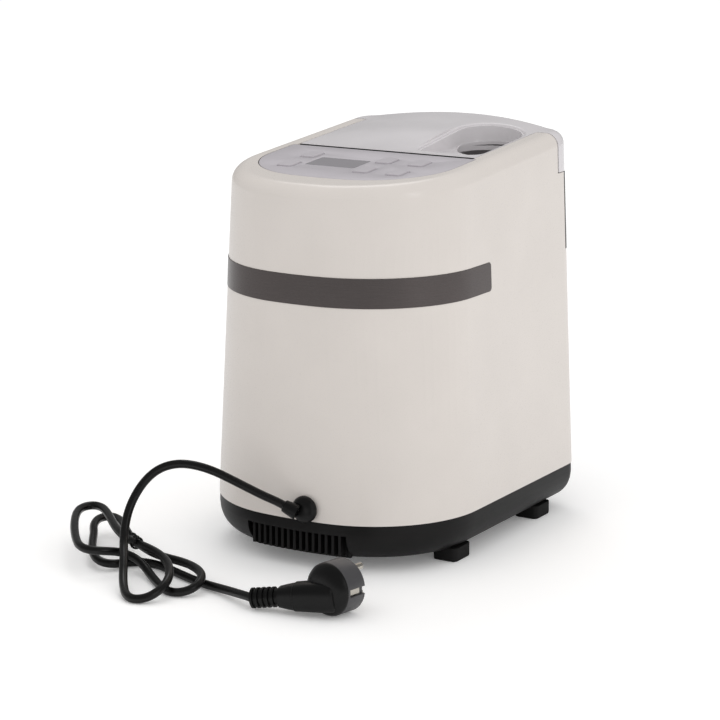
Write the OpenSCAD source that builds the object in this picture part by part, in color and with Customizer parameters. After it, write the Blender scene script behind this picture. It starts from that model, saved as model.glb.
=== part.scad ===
// Counter-top electric pasta maker: a housing on a vented base, a hinged lid
// with a pouring funnel, a sliding kneading bowl with an extruding screw, a
// two-stage gear train and motor, and a mains cord tied in a bundle.
// X is the width, the extruding nose points along -Y and +Z is up.

/* [Housing] */
// Width of the housing where it meets the base
body_w = 209; // [200:1:220]
// Distance from the drive line's middle plane to the back of the housing
body_back = 140; // [134:1:150]
// Distance from that plane to the bulged front of the housing
body_front = 137.5; // [132:0.5:142]
// Height of the joint between base and housing
seam_z = 37; // [34:0.5:40]
// Height of the top face over the middle plane
top_z = 290.8; // [284:0.2:300]
// Tilt of the top face towards the back in degrees
top_tilt = 4.34; // [3.6:0.02:5]
// Draft of the side walls in degrees
side_draft = 2.4; // [1.8:0.1:3]
// Draft of the front and back walls in degrees
end_draft = 1.55; // [1:0.05:2.2]
// Radius of the bulged back wall
back_r = 252; // [235:1:280]
// Radius of the upright back corners
back_corner_r = 86; // [78:1:92]
// Radius of the bulged front wall
front_r = 250; // [235:1:280]
// Radius of the upright front corners
front_corner_r = 19.7; // [16:0.1:24]
// Radius of the rounding around the top
top_round = 10; // [7:0.5:12]
// Thickness of the housing wall
wall = 3; // [2.4:0.1:3.6]

/* [Trim band] */
// Height of the lower edge of the metal band
band_z = 195.5; // [180:0.5:210]
// Height of the metal band
band_h = 21.4; // [16:0.1:26]
// Distance from the middle plane to the ends of the band on the sides
band_end = 19.5; // [10:0.5:30]
// Thickness of the band
band_t = 0.9; // [0.6:0.1:1.2]
// Corner radius at the band's ends
band_corner_r = 3; // [2:0.5:5]

/* [Base and feet] */
// Height of the underside of the base
base_z = 10.5; // [9:0.5:12]
// How far the rounded underside tucks in
base_tuck = 13; // [10:0.5:15]
// Number of slots in the vent at the back
vent_n = 12; // [8:1:13]
// Distance between two vent slots
vent_pitch = 7.3; // [6.5:0.1:8]
// Width of a vent slot
vent_w = 4; // [3:0.1:5]
// Height of a vent slot
vent_h = 15; // [12:0.5:16]
// Length of a rubber foot from front to back
foot_l = 24.4; // [20:0.2:28]
// Width of a rubber foot
foot_w = 20; // [16:0.5:22]
// Distance of a foot's outer side from the middle
foot_out = 97; // [94:0.5:98]
// Distance of the back feet's middle from the middle plane
foot_back = 57.8; // [52:0.2:64]
// Distance of the front feet's middle from the middle plane
foot_front = 73.3; // [68:0.1:80]

/* [Lid] */
// Width of the lid between the rims of the housing
lid_w = 151.2; // [146:0.2:154]
// Width of the gap beside the lid
lid_gap = 0.7; // [0.5:0.1:1]
// Distance from the middle plane to the lid's hinge line
hinge_y = 3.5; // [2:0.1:4]
// Radius of the rounded hinge edge of the lid
barrel_r = 4.9; // [4.6:0.1:5.2]
// Width of the gap behind the hinge edge
hinge_gap = 1.9; // [1.8:0.1:2.4]
// Radius of the hinge pins
pin_r = 1.5; // [1.2:0.1:1.6]
// How far the lid is crowned in the middle
lid_crown = 4.5; // [3:0.1:6]
// Distance from the middle plane to the step where the lid widens
lid_step = 94; // [90:0.5:97]
// Gap between the widened lid and the housing at the step
step_gap = 1.6; // [1.4:0.1:2]
// Height of the lower edge of the lid's front apron
apron_z = 268; // [264:0.5:272]
// Wall of the lid
lid_wall = 2.6; // [2.2:0.1:3]
// Sideways place of the pouring tray in the lid
tray_x = -46.5; // [-47:0.1:-40]
// Radius of the tray's round front end
tray_r = 27; // [25:0.1:28]
// Distance from the middle plane to the tray's back edge
tray_back = -3; // [-8:0.5:-2]
// Distance from the middle plane to the tray's front end
tray_front = -98.5; // [-100:0.5:-94]
// Radius of the tray's back corners
tray_corner_r = 9; // [6:0.5:12]
// Depth of the tray
tray_depth = 11; // [9:0.5:13]
// Wall of the tray
tray_wall = 1.8; // [1.5:0.1:2.2]
// Radius of the tray's round throat
throat_r = 24.6; // [21:0.1:25]
// Number of slots around the throat's strainer
strainer_n = 24; // [16:1:30]

/* [Control panel] */
// Width of the control panel
panel_w = 157; // [150:1:160]
// Distance from the middle plane to the back of the control panel
panel_back = 104; // [100:0.5:108]
// Distance from the middle plane to the front edge of the control panel
panel_front = 10.4; // [9.5:0.1:12]
// Radius of the control panel's back corners
panel_corner_r = 61; // [56:0.5:64]
// Thickness of the control panel
panel_t = 1.7; // [1.3:0.1:1.9]
// Width of a key
key_w = 12; // [10:0.5:13]
// Length of a key
key_l = 17; // [14:0.5:19]
// How far a key stands up
key_up = 1.2; // [1:0.1:1.6]
// Travel of a key
key_travel = 1; // [0.6:0.1:1.2]
// Sideways places of the key columns
key_cols = [44, -20.5, -48];
// Places of the key rows behind the middle plane
key_rows = [39.5, 72];
// Width of the display window
display_w = 42; // [36:0.5:44]
// Length of the display window
display_l = 26; // [22:0.5:30]
// Sideways place of the display window
display_x = 12; // [10:0.5:14]
// Place of the display window behind the middle plane
display_y = 56; // [52:0.5:60]

/* [Bowl and extruder] */
// Height of the drive line of the screw and paddle
axis_z = 122; // [118:0.5:126]
// Inner radius of the kneading bowl's round bottom
bowl_r = 64; // [60:0.5:66]
// Height of the kneading bowl's rim
rim_z = 262; // [258:0.5:263]
// Wall of the kneading bowl
bowl_wall = 2.5; // [2:0.1:3]
// Distance from the middle plane to the bowl's front wall
bowl_front = 101; // [97:0.5:103]
// Bore of the extruding tube as a radius
tube_r = 20; // [18:0.5:21]
// Wall of the extruding tube
tube_wall = 3.5; // [3:0.1:4]
// Distance from the middle plane to the front face of the tube
nose_front = 145.5; // [144:0.5:147]
// Outer radius of the tube's threaded end
thread_r = 27; // [26:0.1:28]
// Thickness of the die
die_t = 6.2; // [5:0.1:7]
// Radius of a hole in the die
die_hole_r = 1.2; // [0.9:0.1:1.4]
// Outer radius of the clamping ring
ring_r = 34; // [32:0.5:36]
// Thickness of the clamping ring's front lip
ring_lip = 3; // [2.5:0.1:3.5]
// Running gap between screw and tube
screw_gap = 0.4; // [0.3:0.05:0.6]
// Blade thickness of the screw
screw_t = 3.4; // [3:0.1:4]
// Twist of the screw in degrees over its length
screw_twist = 620; // [500:10:720]
// Reach of the kneading paddle from the drive line
paddle_r = 59; // [54:0.5:60]

/* [Drive] */
// Module of the slow gear pair
slow_m = 1.4; // [1.3:0.05:1.5]
// Teeth of the output gear
output_teeth = 64; // [64:4:68]
// Teeth of the idler's pinion
idler_pinion_teeth = 16; // [16:1:17]
// Module of the fast gear pair
fast_m = 1; // [0.95:0.05:1.05]
// Teeth of the idler gear
idler_teeth = 60; // [56:4:60]
// Teeth of the motor's pinion
motor_teeth = 15; // [15:1:16]
// Direction from the idler to the motor in degrees
motor_dir = 13; // [8:1:20]
// Width of the slow gears
slow_w = 12; // [10:0.5:13]
// Width of the fast gears
fast_w = 8; // [7:0.5:9]
// Outer radius of the motor's core
stator_r = 34; // [31:0.5:35]
// Length of the motor's core
stator_l = 32; // [28:0.5:34]
// Outer radius of the rotor
rotor_r = 20; // [18:0.5:21]

/* [Cord] */
// Diameter of the mains cord
cord_d = 6.3; // [6:0.1:6.6]

/* [Hidden] */
$fn = 48;
eps = 0.01;
far = 400;
side_slope = tan(side_draft);
end_slope = tan(end_draft);
top_slope = tan(top_tilt);
lid_half = lid_w / 2;
bay_half = lid_half + lid_gap;
liner_t = 2.5;
liner_half = bay_half + 0.7 + liner_t;
ring_front = nose_front + 0.2 + die_t + 0.3 + ring_lip;
body_y = (ring_front - body_back) / 2;
floor_t = 3;
floor_z = base_z + floor_t;
bay_floor_z = 43;
hinge_z = top_z - top_slope * hinge_y - barrel_r - 0.2;
throat_y = tray_front + tray_r;
throat_low = rim_z + 3;
throat_top = top_z - top_slope * (throat_y + throat_r) - tray_depth;
bulkhead_y = 9;
bulkhead_t = 3;
case_front_y = bulkhead_y + bulkhead_t;
case_t = 3;
slow_y = case_front_y + case_t + 3 + slow_w;
fast_y = slow_y + 3 + fast_w;
case_rear_y = fast_y + 3;
frame_y = case_rear_y + case_t;
frame_t = 3;
stator_y = frame_y + frame_t + 8;
end_y = stator_y + stator_l + 8;
fan_y = end_y + frame_t + 2;
fan_w = 7;
run_gap = 0.05;
slow_dist = slow_m * (output_teeth + idler_pinion_teeth) / 2;
fast_dist = fast_m * (idler_teeth + motor_teeth) / 2;
idler_z = axis_z - slow_dist;
motor_x = fast_dist * cos(motor_dir);
motor_z = idler_z + fast_dist * sin(motor_dir);
window_half = 82;
window_top = apron_z - 1;
wing_z = 208;
wing_y = 104;
panel_gap = 0.5;
bowl_back_y = 4;
bowl_back_t = 3;
hub_r = 12;
core_r = 7;
hex_r = 6.4;
paddle_front = 58;
ring_in_r = thread_r + 0.3;
ring_rear = body_front - 0.5;
key_gap = 0.3;
key_deep = 5;
board_drop = 8.4;
board_t = 1.6;

// ---- Helpers ----
function unit(v) = v / norm(v);
function ztop(y) = top_z - top_slope * y;
function arc_pts(c, r, a0, a1, n, lo, hi) =
    [for (k = [lo:hi]) let (a = a0 + (a1 - a0) * k / n) c + r * [cos(a), sin(a)]];

// Plan outline made of tangent arcs: half width, back and front reach, radii.
function arcs(a, db, df, r1, r2, f1, f2) =
    let (sr = sqrt(pow(r1 - r2, 2) - pow(a - r2, 2)),
        sf = sqrt(pow(f1 - f2, 2) - pow(a - f2, 2)),
        cr = [a - r2, db - r1 + sr], cf = [a - f2, f1 - df - sf],
        pr = atan2(sr, a - r2), pf = atan2(sf, a - f2))
    concat(
        arc_pts(cr, r2, 0, pr, 8, 0, 8),
        arc_pts([0, db - r1], r1, pr, 180 - pr, 8, 1, 7),
        arc_pts([-cr[0], cr[1]], r2, 180 - pr, 180, 8, 0, 8),
        arc_pts([-cf[0], cf[1]], f2, 180, 180 + pf, 5, 0, 5),
        arc_pts([0, f1 - df], f1, 180 + pf, 360 - pf, 8, 1, 7),
        arc_pts(cf, f2, 360 - pf, 360, 5, 0, 5));

// Housing outline at height z, drawn in by an inset.
function outline(inset, z) = arcs(
    body_w / 2 - inset - side_slope * (z - seam_z),
    body_back - inset - end_slope * (z - seam_z),
    body_front - inset - end_slope * (z - seam_z),
    back_r - inset, back_corner_r - inset,
    front_r - inset, max(front_corner_r - inset, 2));
function level_ring(inset, z) = [for (p = outline(inset, z)) [p[0], p[1], z]];
function crown(x, y) = lid_crown * max(0, 1 - pow(x / lid_half, 2))
    * pow(sin(90 * min(1, max(0, (hinge_y - y) / 60))), 2);
function top_ring(inset, drop, crowned) =
    [for (p = outline(inset, top_z - drop))
        [p[0], p[1], ztop(p[1]) - drop + crowned * crown(p[0], p[1])]];

// Closed skin through rings that all have the same number of points.
module loft(rings) {
    n = len(rings[0]);
    m = len(rings);
    points = concat([for (r = rings) each r],
        [[0, 0, rings[0][0][2]], loft_mid(rings[m - 1])]);
    sides = [for (i = [0:m - 2]) for (j = [0:n - 1]) let (k = (j + 1) % n)
        each [[i * n + j, (i + 1) * n + j, (i + 1) * n + k],
            [i * n + j, (i + 1) * n + k, i * n + k]]];
    low = [for (j = [0:n - 1]) [m * n, j, (j + 1) % n]];
    high = [for (j = [0:n - 1])
        [m * n + 1, (m - 1) * n + (j + 1) % n, (m - 1) * n + j]];
    polyhedron(points, concat(sides, low, high), convexity = 6);
}
function loft_mid(r) = let (n = len(r))
    [for (c = [0:2]) [for (p = r) p[c]] * [for (p = r) 1] / n];

module at_body() { translate([0, body_y, 0]) children(); }
// Places children on the tilted top face, with its own z outward.
module on_top(drop = 0) {
    translate([0, 0, top_z]) rotate([-top_tilt, 0, 0])
        translate([0, 0, -drop]) children();
}
// Extrudes a profile drawn in X and Z from y1 back to y0.
module along_y(y0, y1) {
    translate([0, y1, 0]) rotate([90, 0, 0])
        linear_extrude(y1 - y0) children();
}
module rod_y(x, z, r, y0, y1) {
    along_y(y0, y1) translate([x, z]) circle(r);
}
module rrect(w, h, r) {
    square([w - 2 * r, h], center = true);
    square([w, h - 2 * r], center = true);
    for (sx = [-1, 1], sy = [-1, 1])
        translate([sx * (w / 2 - r), sy * (h / 2 - r)]) circle(r);
}
module body_skin(inset, drop, crowned = 0) {
    r = max(top_round - inset, 1);
    loft(concat(
        [level_ring(inset, seam_z - (inset > 0 ? eps : 0))],
        [for (t = [0:22.5:90])
            top_ring(inset + r * (1 - cos(t)), drop + r * (1 - sin(t)), crowned)],
        crowned > 0 ? [for (i = [22, 36, 52, 70]) top_ring(i, drop, crowned)] : []));
}

// Involute gear profile.
function inv(a) = tan(a) * 180 / PI - a;
function flank(t, m, r) = let (rb = m * t / 2 * cos(20))
    90 / t - 2.6 / t + inv(20) - (r > rb ? inv(acos(rb / r)) : 0);
module gear2d(t, m, turn) {
    rp = m * t / 2;
    rr = rp - 1.2 * m;
    ra = rp + 0.9 * m;
    rb = rp * cos(20);
    radii = [rr, max(rb, rr + eps), (rb + ra) / 2, ra];
    polygon([for (k = [0:t - 1]) let (c = turn + k * 360 / t)
        each concat(
            [for (r = radii) r * [cos(c - flank(t, m, r)), sin(c - flank(t, m, r))]],
            [for (i = [3:-1:0]) let (r = radii[i])
                r * [cos(c + flank(t, m, r)), sin(c + flank(t, m, r))]])]);
}

// Round cord through hand-set points.
function spline(p, i, u) =
    let (a = p[max(i - 1, 0)], b = p[i], c = p[i + 1], d = p[min(i + 2, len(p) - 1)])
    0.5 * (2 * b + (c - a) * u + (2 * a - 5 * b + 4 * c - d) * u * u
        + (3 * b - a - 3 * c + d) * u * u * u);
function smooth_route(p, n) = concat(
    [for (i = [0:len(p) - 2]) for (k = [0:n - 1]) spline(p, i, k / n)],
    [p[len(p) - 1]]);

// ---- Cord route: leaves the gland, arches over, runs through the tie into the
// front loop, the outer loop, the low loop and the inner loop, then to the plug.
gland_at = [-11.5, 140, 46.4];
gland_r = 10;
gland_out = 7.5;
sleeve_r = 5;
sleeve_l = 9;
lead_pts = [[-2, 152, 49.5], [5, 154, 53], [14, 156, 56], [24, 159, 60.5],
    [37, 163, 66.5], [49, 167, 72], [61, 171, 75.5], [73, 176, 77], [85, 181, 74],
    [94, 186, 67], [100, 192, 57], [102, 200, 46], [101, 207, 35.5]];
hank_pts = [[98, 214, 24], [87, 229, 17], [78, 243, 9], [67, 257, 4.6],
    [58, 265.5, 3.3], [48.5, 267.5, 3.2], [41, 260, 5], [38, 247, 10.5],
    [45, 232, 14], [58, 217, 16.5], [75, 206, 17.5], [90, 200, 18], [102, 197, 19],
    [113, 193, 20], [128, 182, 21.5], [143, 168, 23], [157, 155, 24],
    [167, 148.5, 24], [174.5, 148.5, 23.9], [178, 155, 23.6], [176, 164.5, 23.3],
    [169, 177, 22.9], [159.5, 191, 22.4], [148, 206, 21], [136, 219.5, 19.8],
    [127.5, 227, 19.3], [119, 230, 18.9], [111.5, 227.5, 18.4], [106.5, 220.5, 17],
    [102, 213, 15], [95.5, 208.5, 12], [87, 208.8, 8.8], [78, 213.5, 5.6],
    [68, 221, 3.6], [50, 235.5, 3.2], [40, 241, 3.2], [30.5, 240, 3.6],
    [24, 232.5, 6], [24.5, 222.5, 9.4], [32, 212.5, 11], [46, 203, 11],
    [61, 197, 10.5], [75, 195, 10.5], [90, 191, 11], [104, 183, 11.5],
    [121, 172, 12], [139, 155, 12.5], [151, 143, 12.9], [160.5, 136.5, 13],
    [168, 136, 13], [171.8, 142, 12.8], [169.5, 151.5, 12.5], [163, 163, 12],
    [155, 173, 11.5], [142, 193, 10], [131, 207, 8.4], [123.5, 213.5, 7.2],
    [116, 216, 5.9], [109.5, 212, 4.6], [106.8, 204, 3.6]];
tail_pts = [[102.5, 197, 3.2], [95, 193.2, 3.2], [85, 193, 3.2], [75, 195.5, 3.2],
    [57, 203, 3.2], [37, 211, 3.2], [22, 216, 3.6], [2, 223, 5.2], [-14, 231, 7.2],
    [-20.5, 233.6, 7.8], [-27, 236, 8]];
route_step = 2;
route = smooth_route(concat(lead_pts, hank_pts, tail_pts), route_step);
lead_end = len(lead_pts) * route_step;
hank_end = lead_end + (len(hank_pts) - 1) * route_step;
module route_tube(lo, hi, sides) {
    r = cord_d / 2;
    n = hi - lo + 1;
    m = len(route) - 1;
    rings = [for (i = [lo:hi])
        let (t = unit(route[min(i + 1, m)] - route[max(i - 1, 0)]),
            s = unit(cross(t, [0, 0, 1])), u = cross(s, t))
        [for (k = [0:sides - 1]) let (a = 360 * (k + 0.5) / sides)
            route[i] + r * (cos(a) * s + sin(a) * u)]];
    faces = [for (i = [0:n - 2]) for (j = [0:sides - 1]) let (k = (j + 1) % sides)
        each [[i * sides + j, (i + 1) * sides + k, (i + 1) * sides + j],
            [i * sides + j, i * sides + k, (i + 1) * sides + k]]];
    polyhedron(concat([for (g = rings) each g]),
        concat([[for (j = [sides - 1:-1:0]) j]], faces,
            [[for (j = [0:sides - 1]) (n - 1) * sides + j]]), convexity = 10);
}
gaps = [for (i = [0:2:len(route) - 1]) for (j = [i + 4:1:len(route) - 1])
    norm(route[i] - route[j]) - cord_d];
echo(least_gap = min(gaps));

plug_start = [-27, 236, 8];
grip_start = [-46.9, 231.3, 11];
grip_end = [-76, 227, 12.8];
plug_face = [-83, 208, 19];
plug_dir = 258.5;
plug_r = 18.9;
plug_depth = 15;
relief_r = 7.3;
grip_r = 11.6;
prong_r = 2.4;
prong_gap = 19;
prong_l = 19;
// Points children's +Z from a towards b, starting at a.
module aim(a, b) {
    d = b - a;
    translate(a) rotate([0, acos(d[2] / norm(d)), atan2(d[1], d[0])]) children();
}
// Plug frame: +Z out of the plug's face.
module at_plug() {
    translate(plug_face) rotate([0, 90, plug_dir]) rotate([0, 0, 90]) children();
}

// ---- Base ----
module base_skin(inset, low) {
    loft([
        for (k = [[base_tuck, low], [base_tuck * 0.7, low + 2.4],
            [base_tuck * 0.36, low + 7], [base_tuck * 0.14, low + 13],
            [0.6, low + 19.5]])
            level_ring(k[0] + inset, k[1]),
        level_ring(0.6 + inset, seam_z + (inset > 0 ? 1 : 0))]);
}
foot_boss_h = 9;
stud_r = 4;
stud_h = 6;
module foot_spots() {
    for (sx = [-1, 1], y = [-foot_front, foot_back])
        translate([sx * (foot_out - foot_w / 2), y, 0]) children();
}
board_x = -41;
board_y = 76;
board_w = 54;
board_l = 42;
board_z = 20;
module board_spots() {
    for (sx = [-1, 1], sy = [-1, 1])
        translate([board_x + sx * (board_w / 2 - 4), board_y + sy * (board_l / 2 - 4), 0])
            children();
}
leg_x = 60;
leg_y = [-88, -20];
module base_tray() color([0.16, 0.15, 0.15]) at_body() difference() {
    union() {
        difference() {
            base_skin(0, base_z);
            base_skin(wall, floor_z);
        }
        intersection() {
            foot_spots() translate([0, 0, base_z]) linear_extrude(foot_boss_h)
                rrect(foot_w - 1, foot_l, 4);
            level_box(0.6, 0, seam_z);
        }
        board_spots() translate([0, 0, floor_z - 1])
            cylinder(r = 3, h = board_z - floor_z + 1);
    }
    foot_spots() translate([0, 0, base_z - 1]) cylinder(r = stud_r, h = stud_h + 1);
    for (k = [0:vent_n - 1])
        translate([(k - (vent_n - 1) / 2) * vent_pitch - vent_w / 2, body_back / 2, base_z + 3])
            cube([vent_w, body_back, vent_h]);
}
module level_box(inset, z0, z1) {
    translate([0, 0, z0]) linear_extrude(z1 - z0) polygon(outline(inset, seam_z));
}
module rubber_feet() color([0.1, 0.1, 0.1]) at_body() foot_spots() {
    linear_extrude(base_z) rrect(foot_w, foot_l, 4);
    cylinder(r = stud_r - run_gap, h = base_z + stud_h - 0.5);
}

// ---- Housing ----
module bay_cut() {
    translate([-bay_half, -far, bay_floor_z]) cube([2 * bay_half, far + hinge_y, far]);
}
module front_view(grow) {
    translate([0, (bay_floor_z + wing_z) / 2])
        square([2 * (window_half + grow), wing_z - bay_floor_z + 2 * grow + 24], center = true);
    translate([0, (wing_z + far) / 2 - grow])
        square([far, far - wing_z], center = true);
}
module outer_shell() color([0.86, 0.84, 0.82]) at_body() difference() {
    body_skin(0, 0);
    translate([0, 0, -eps]) body_skin(wall, wall);
    bay_cut();
    // window for the front panel, wrapping the corners higher up
    intersection() {
        along_y(-far, -wing_y + panel_gap) front_view(panel_gap);
        translate([-far, -far, bay_floor_z - 2]) cube([2 * far, far, far]);
    }
    // step for the widened lid
    translate([-far, -far - lid_step + step_gap, apron_z - 0.6]) cube([2 * far, far, far]);
    hinge_room();
    // control panel seat and the opening under it
    on_top(panel_t) linear_extrude(far) panel_plan(0.4);
    on_top(panel_t + wall) linear_extrude(far) panel_plan(-5);
    // groove for the metal band
    difference() {
        translate([-far, 0, 0]) band_zone(0.15);
        loft([level_ring(band_t - 0.1, band_z - 2), level_ring(band_t - 0.1, band_z + band_h + 2)]);
    }
    // cable hole
    rod_y(gland_at[0], gland_at[2], gland_r - 3 + run_gap, 0, far);
}
// Room in which the lid's hinge edge turns.
module hinge_room() {
    translate([-bay_half, hinge_y - eps, hinge_z - barrel_r - 0.6])
        cube([2 * bay_half, barrel_r + hinge_gap, far]);
}
module band_zone(grow) {
    l = far - band_end + grow;
    translate([0, far - l / 2, band_z + band_h / 2]) rotate([90, 0, 90])
        linear_extrude(2 * far) rrect(l, band_h + 2 * grow, band_corner_r);
}
module trim_band() color([0.42, 0.4, 0.39]) at_body() intersection() {
    difference() {
        loft([level_ring(-0.1, band_z - 1), level_ring(-0.1, band_z + band_h + 1)]);
        loft([level_ring(band_t - 0.1, band_z - 2), level_ring(band_t - 0.1, band_z + band_h + 2)]);
    }
    translate([-far, 0, 0]) band_zone(0);
}
// Room under the housing's top skin.
module under_top(drop) {
    on_top(drop) translate([-far, -far, -far]) cube([2 * far, 2 * far, far]);
}
module bay_liner() color([0.8, 0.79, 0.78]) at_body() difference() {
    union() {
        translate([-liner_half, -wing_y + 2, bay_floor_z - liner_t])
            cube([2 * liner_half, wing_y + bulkhead_y - 2, liner_t]);
        intersection() {
            union() {
                for (s = [0, 1]) mirror([s, 0, 0])
                    translate([liner_half - liner_t, -wing_y + 2, bay_floor_z - liner_t])
                        cube([liner_t, wing_y + bulkhead_y - 2, far]);
                translate([-liner_half, bulkhead_y, bay_floor_z - liner_t])
                    cube([2 * liner_half, bulkhead_t, far]);
            }
            under_top(wall + 0.3);
            // kept under the widened lid
            union() {
                translate([-far, -far, 0]) cube([2 * far, 2 * far, apron_z - 1]);
                translate([-far, -lid_step + step_gap + 1, 0]) cube([2 * far, far, far]);
            }
        }
        for (sx = [-1, 1], y = [leg_y[0], leg_y[1], bulkhead_y + bulkhead_t / 2])
            translate([sx * leg_x, y, floor_z]) cylinder(r = 5, h = bay_floor_z - floor_z - 1);
    }
    rod_y(0, axis_z, hub_r + 1, bulkhead_y - 1, bulkhead_y + bulkhead_t + 1);
    translate([-far, hinge_y, hinge_z]) rotate([0, 90, 0]) cylinder(r = pin_r, h = 2 * far);
    hinge_room();
}
module hinge_pins() color([0.75, 0.75, 0.76]) at_body() for (s = [0, 1]) mirror([s, 0, 0])
    translate([lid_half - 16, hinge_y, hinge_z]) rotate([0, 90, 0])
        cylinder(r = pin_r, h = liner_half - lid_half + 16);

// ---- Control panel ----
module panel_plan(grow) {
    intersection() {
        polygon(arcs(panel_w / 2 + grow, panel_back + grow, 30, back_r - 29.5 + grow,
            panel_corner_r + grow, front_r, 10));
        translate([-far, panel_front - grow]) square([2 * far, far]);
    }
}
module key_place(k) {
    translate([key_cols[k % 3], key_rows[floor(k / 3)], 0]) children();
}
module control_panel() color([0.69, 0.67, 0.69]) at_body() difference() {
    union() {
        on_top(panel_t) linear_extrude(panel_t) panel_plan(0);
        for (sx = [-1, 1], y = [panel_front + 16, panel_back - 22])
            on_top(board_drop) translate([sx * 30 - 2, y, 0])
                cylinder(r = 2.5, h = board_drop - eps);
    }
    on_top(far / 2) {
        for (k = [0:5]) key_place(k) linear_extrude(far)
            rrect(key_w + 2 * key_gap, key_l + 2 * key_gap, 2.4);
        translate([display_x, display_y, 0]) linear_extrude(far)
            rrect(display_w + 0.2, display_l + 0.2, 2);
    }
}
module display_window() color([0.32, 0.32, 0.34]) at_body()
    on_top(panel_t) translate([display_x, display_y, 0])
        linear_extrude(panel_t) rrect(display_w, display_l, 2);
module key_board() color([0.1, 0.35, 0.2]) at_body() {
    on_top(board_drop + board_t) {
        translate([-58, panel_front + 11, 0]) cube([114, panel_back - panel_front - 29, board_t]);
        for (k = [0:5]) key_place(k) translate([0, 0, board_t - eps])
            cylinder(r = 2.5, h = board_drop - key_deep - key_travel - 0.1);
    }
}
module key_cap(k) color([0.72, 0.7, 0.72]) at_body()
    on_top(key_deep) key_place(k) linear_extrude(key_deep + key_up) rrect(key_w, key_l, 2.4);
module key_1() key_cap(0);
module key_2() key_cap(1);
module key_3() key_cap(2);
module key_4() key_cap(3);
module key_5() key_cap(4);
module key_6() key_cap(5);

// ---- Drive ----
module case_plan(grow) {
    translate([0, axis_z]) circle(slow_m * output_teeth / 2 + 4 + grow);
    translate([0, idler_z]) circle(fast_m * idler_teeth / 2 + 4 + grow);
    translate([motor_x, motor_z]) circle(fast_m * motor_teeth / 2 + 5 + grow);
    translate([-32, idler_z]) square([64, slow_dist]);
}
module gear_case_front() color([0.35, 0.35, 0.37]) at_body() difference() {
    union() {
        along_y(case_front_y, case_rear_y) case_plan(case_t);
        translate([-20, case_front_y, floor_z]) cube([40, case_rear_y - case_front_y, 20]);
    }
    along_y(case_front_y + case_t, case_rear_y + 1) case_plan(0);
    rod_y(0, axis_z, hub_r + run_gap, 0, case_rear_y);
    rod_y(0, idler_z, 4 + run_gap, case_front_y + 1, case_rear_y);
}
module gear_case_rear() color([0.35, 0.35, 0.37]) at_body() difference() {
    union() {
        along_y(case_rear_y, frame_y) case_plan(case_t);
        rod_y(0, axis_z, 9, slow_y + 1, case_rear_y + 1);
    }
    rod_y(0, axis_z, 5 + run_gap, slow_y, case_rear_y);
    rod_y(0, idler_z, 4 + run_gap, 0, frame_y - 1);
    rod_y(motor_x, motor_z, 3.5, 0, far);
}
module output_shaft() color([0.7, 0.7, 0.72]) at_body() difference() {
    union() {
        rod_y(0, axis_z, hub_r, bowl_back_y + bowl_back_t + 1, case_front_y + case_t + 1.5);
        rod_y(0, axis_z, core_r, case_front_y + case_t, slow_y + 1);
        rod_y(0, axis_z, 5, slow_y, case_rear_y - 0.5);
    }
    along_y(0, case_front_y + case_t) translate([0, axis_z]) circle(hex_r + 0.25, $fn = 6);
}
module output_gear() color([0.9, 0.88, 0.8]) at_body() difference() {
    along_y(slow_y - slow_w, slow_y)
        translate([0, axis_z]) gear2d(output_teeth, slow_m, -90 + 180 / output_teeth);
    rod_y(0, axis_z, core_r, 0, far);
    for (a = [0:60:300]) rod_y(27 * cos(a), axis_z + 27 * sin(a), 9, 0, far);
}
module idler_shaft() color([0.7, 0.7, 0.72]) at_body()
    rod_y(0, idler_z, 4, case_front_y + 1.2, frame_y - 1.2);
module idler_pinion() color([0.6, 0.6, 0.62]) at_body() difference() {
    along_y(slow_y - slow_w - 1, fast_y - fast_w)
        translate([0, idler_z]) gear2d(idler_pinion_teeth, slow_m, 90);
    rod_y(0, idler_z, 4, 0, far);
}
module idler_gear() color([0.9, 0.88, 0.8]) at_body() difference() {
    along_y(fast_y - fast_w, fast_y)
        translate([0, idler_z]) gear2d(idler_teeth, fast_m, motor_dir);
    rod_y(0, idler_z, 4, 0, far);
    for (a = [30:60:330]) rod_y(17 * cos(a), idler_z + 17 * sin(a), 6, 0, far);
}
module motor_pinion() color([0.8, 0.7, 0.4]) at_body() difference() {
    along_y(fast_y - fast_w - 0.5, fast_y + 0.5) translate([motor_x, motor_z])
        gear2d(motor_teeth, fast_m, motor_dir + 180 + 180 / motor_teeth);
    rod_y(motor_x, motor_z, 3, 0, far);
}
module motor_shaft() color([0.7, 0.7, 0.72]) at_body()
    rod_y(motor_x, motor_z, 3, fast_y - fast_w - 2, fan_y + fan_w);
module rotor_core() color([0.5, 0.42, 0.36]) at_body() difference() {
    rod_y(motor_x, motor_z, rotor_r, stator_y, stator_y + stator_l);
    rod_y(motor_x, motor_z, 3, 0, far);
    for (a = [0:30:330])
        rod_y(motor_x + rotor_r * cos(a), motor_z + rotor_r * sin(a), 1.6, 0, far);
}
module cooling_fan() color([0.2, 0.2, 0.22]) at_body() {
    along_y(fan_y, fan_y + 2) translate([motor_x, motor_z]) difference() {
        circle(26);
        circle(3);
    }
    along_y(fan_y + 1, fan_y + fan_w) translate([motor_x, motor_z]) difference() {
        union() {
            circle(8);
            for (a = [0:40:320]) rotate(a) translate([6, -0.8]) square([18, 1.6]);
        }
        circle(3.4);
    }
}
module motor_stator() color([0.45, 0.44, 0.44]) at_body() difference() {
    rod_y(motor_x, motor_z, stator_r, stator_y, stator_y + stator_l);
    rod_y(motor_x, motor_z, rotor_r + 0.5, 0, far);
    for (a = [45:90:315]) rod_y(motor_x + (stator_r + 1) * cos(a),
        motor_z + (stator_r + 1) * sin(a), 2.6, 0, far);
}
module motor_coils() color([0.72, 0.4, 0.2]) at_body()
    for (y = [stator_y - 3.2, stator_y + stator_l + 3.2])
        translate([motor_x, y, motor_z]) rotate([90, 0, 0])
            rotate_extrude() translate([rotor_r + 6, 0]) circle(3.2);
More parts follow.
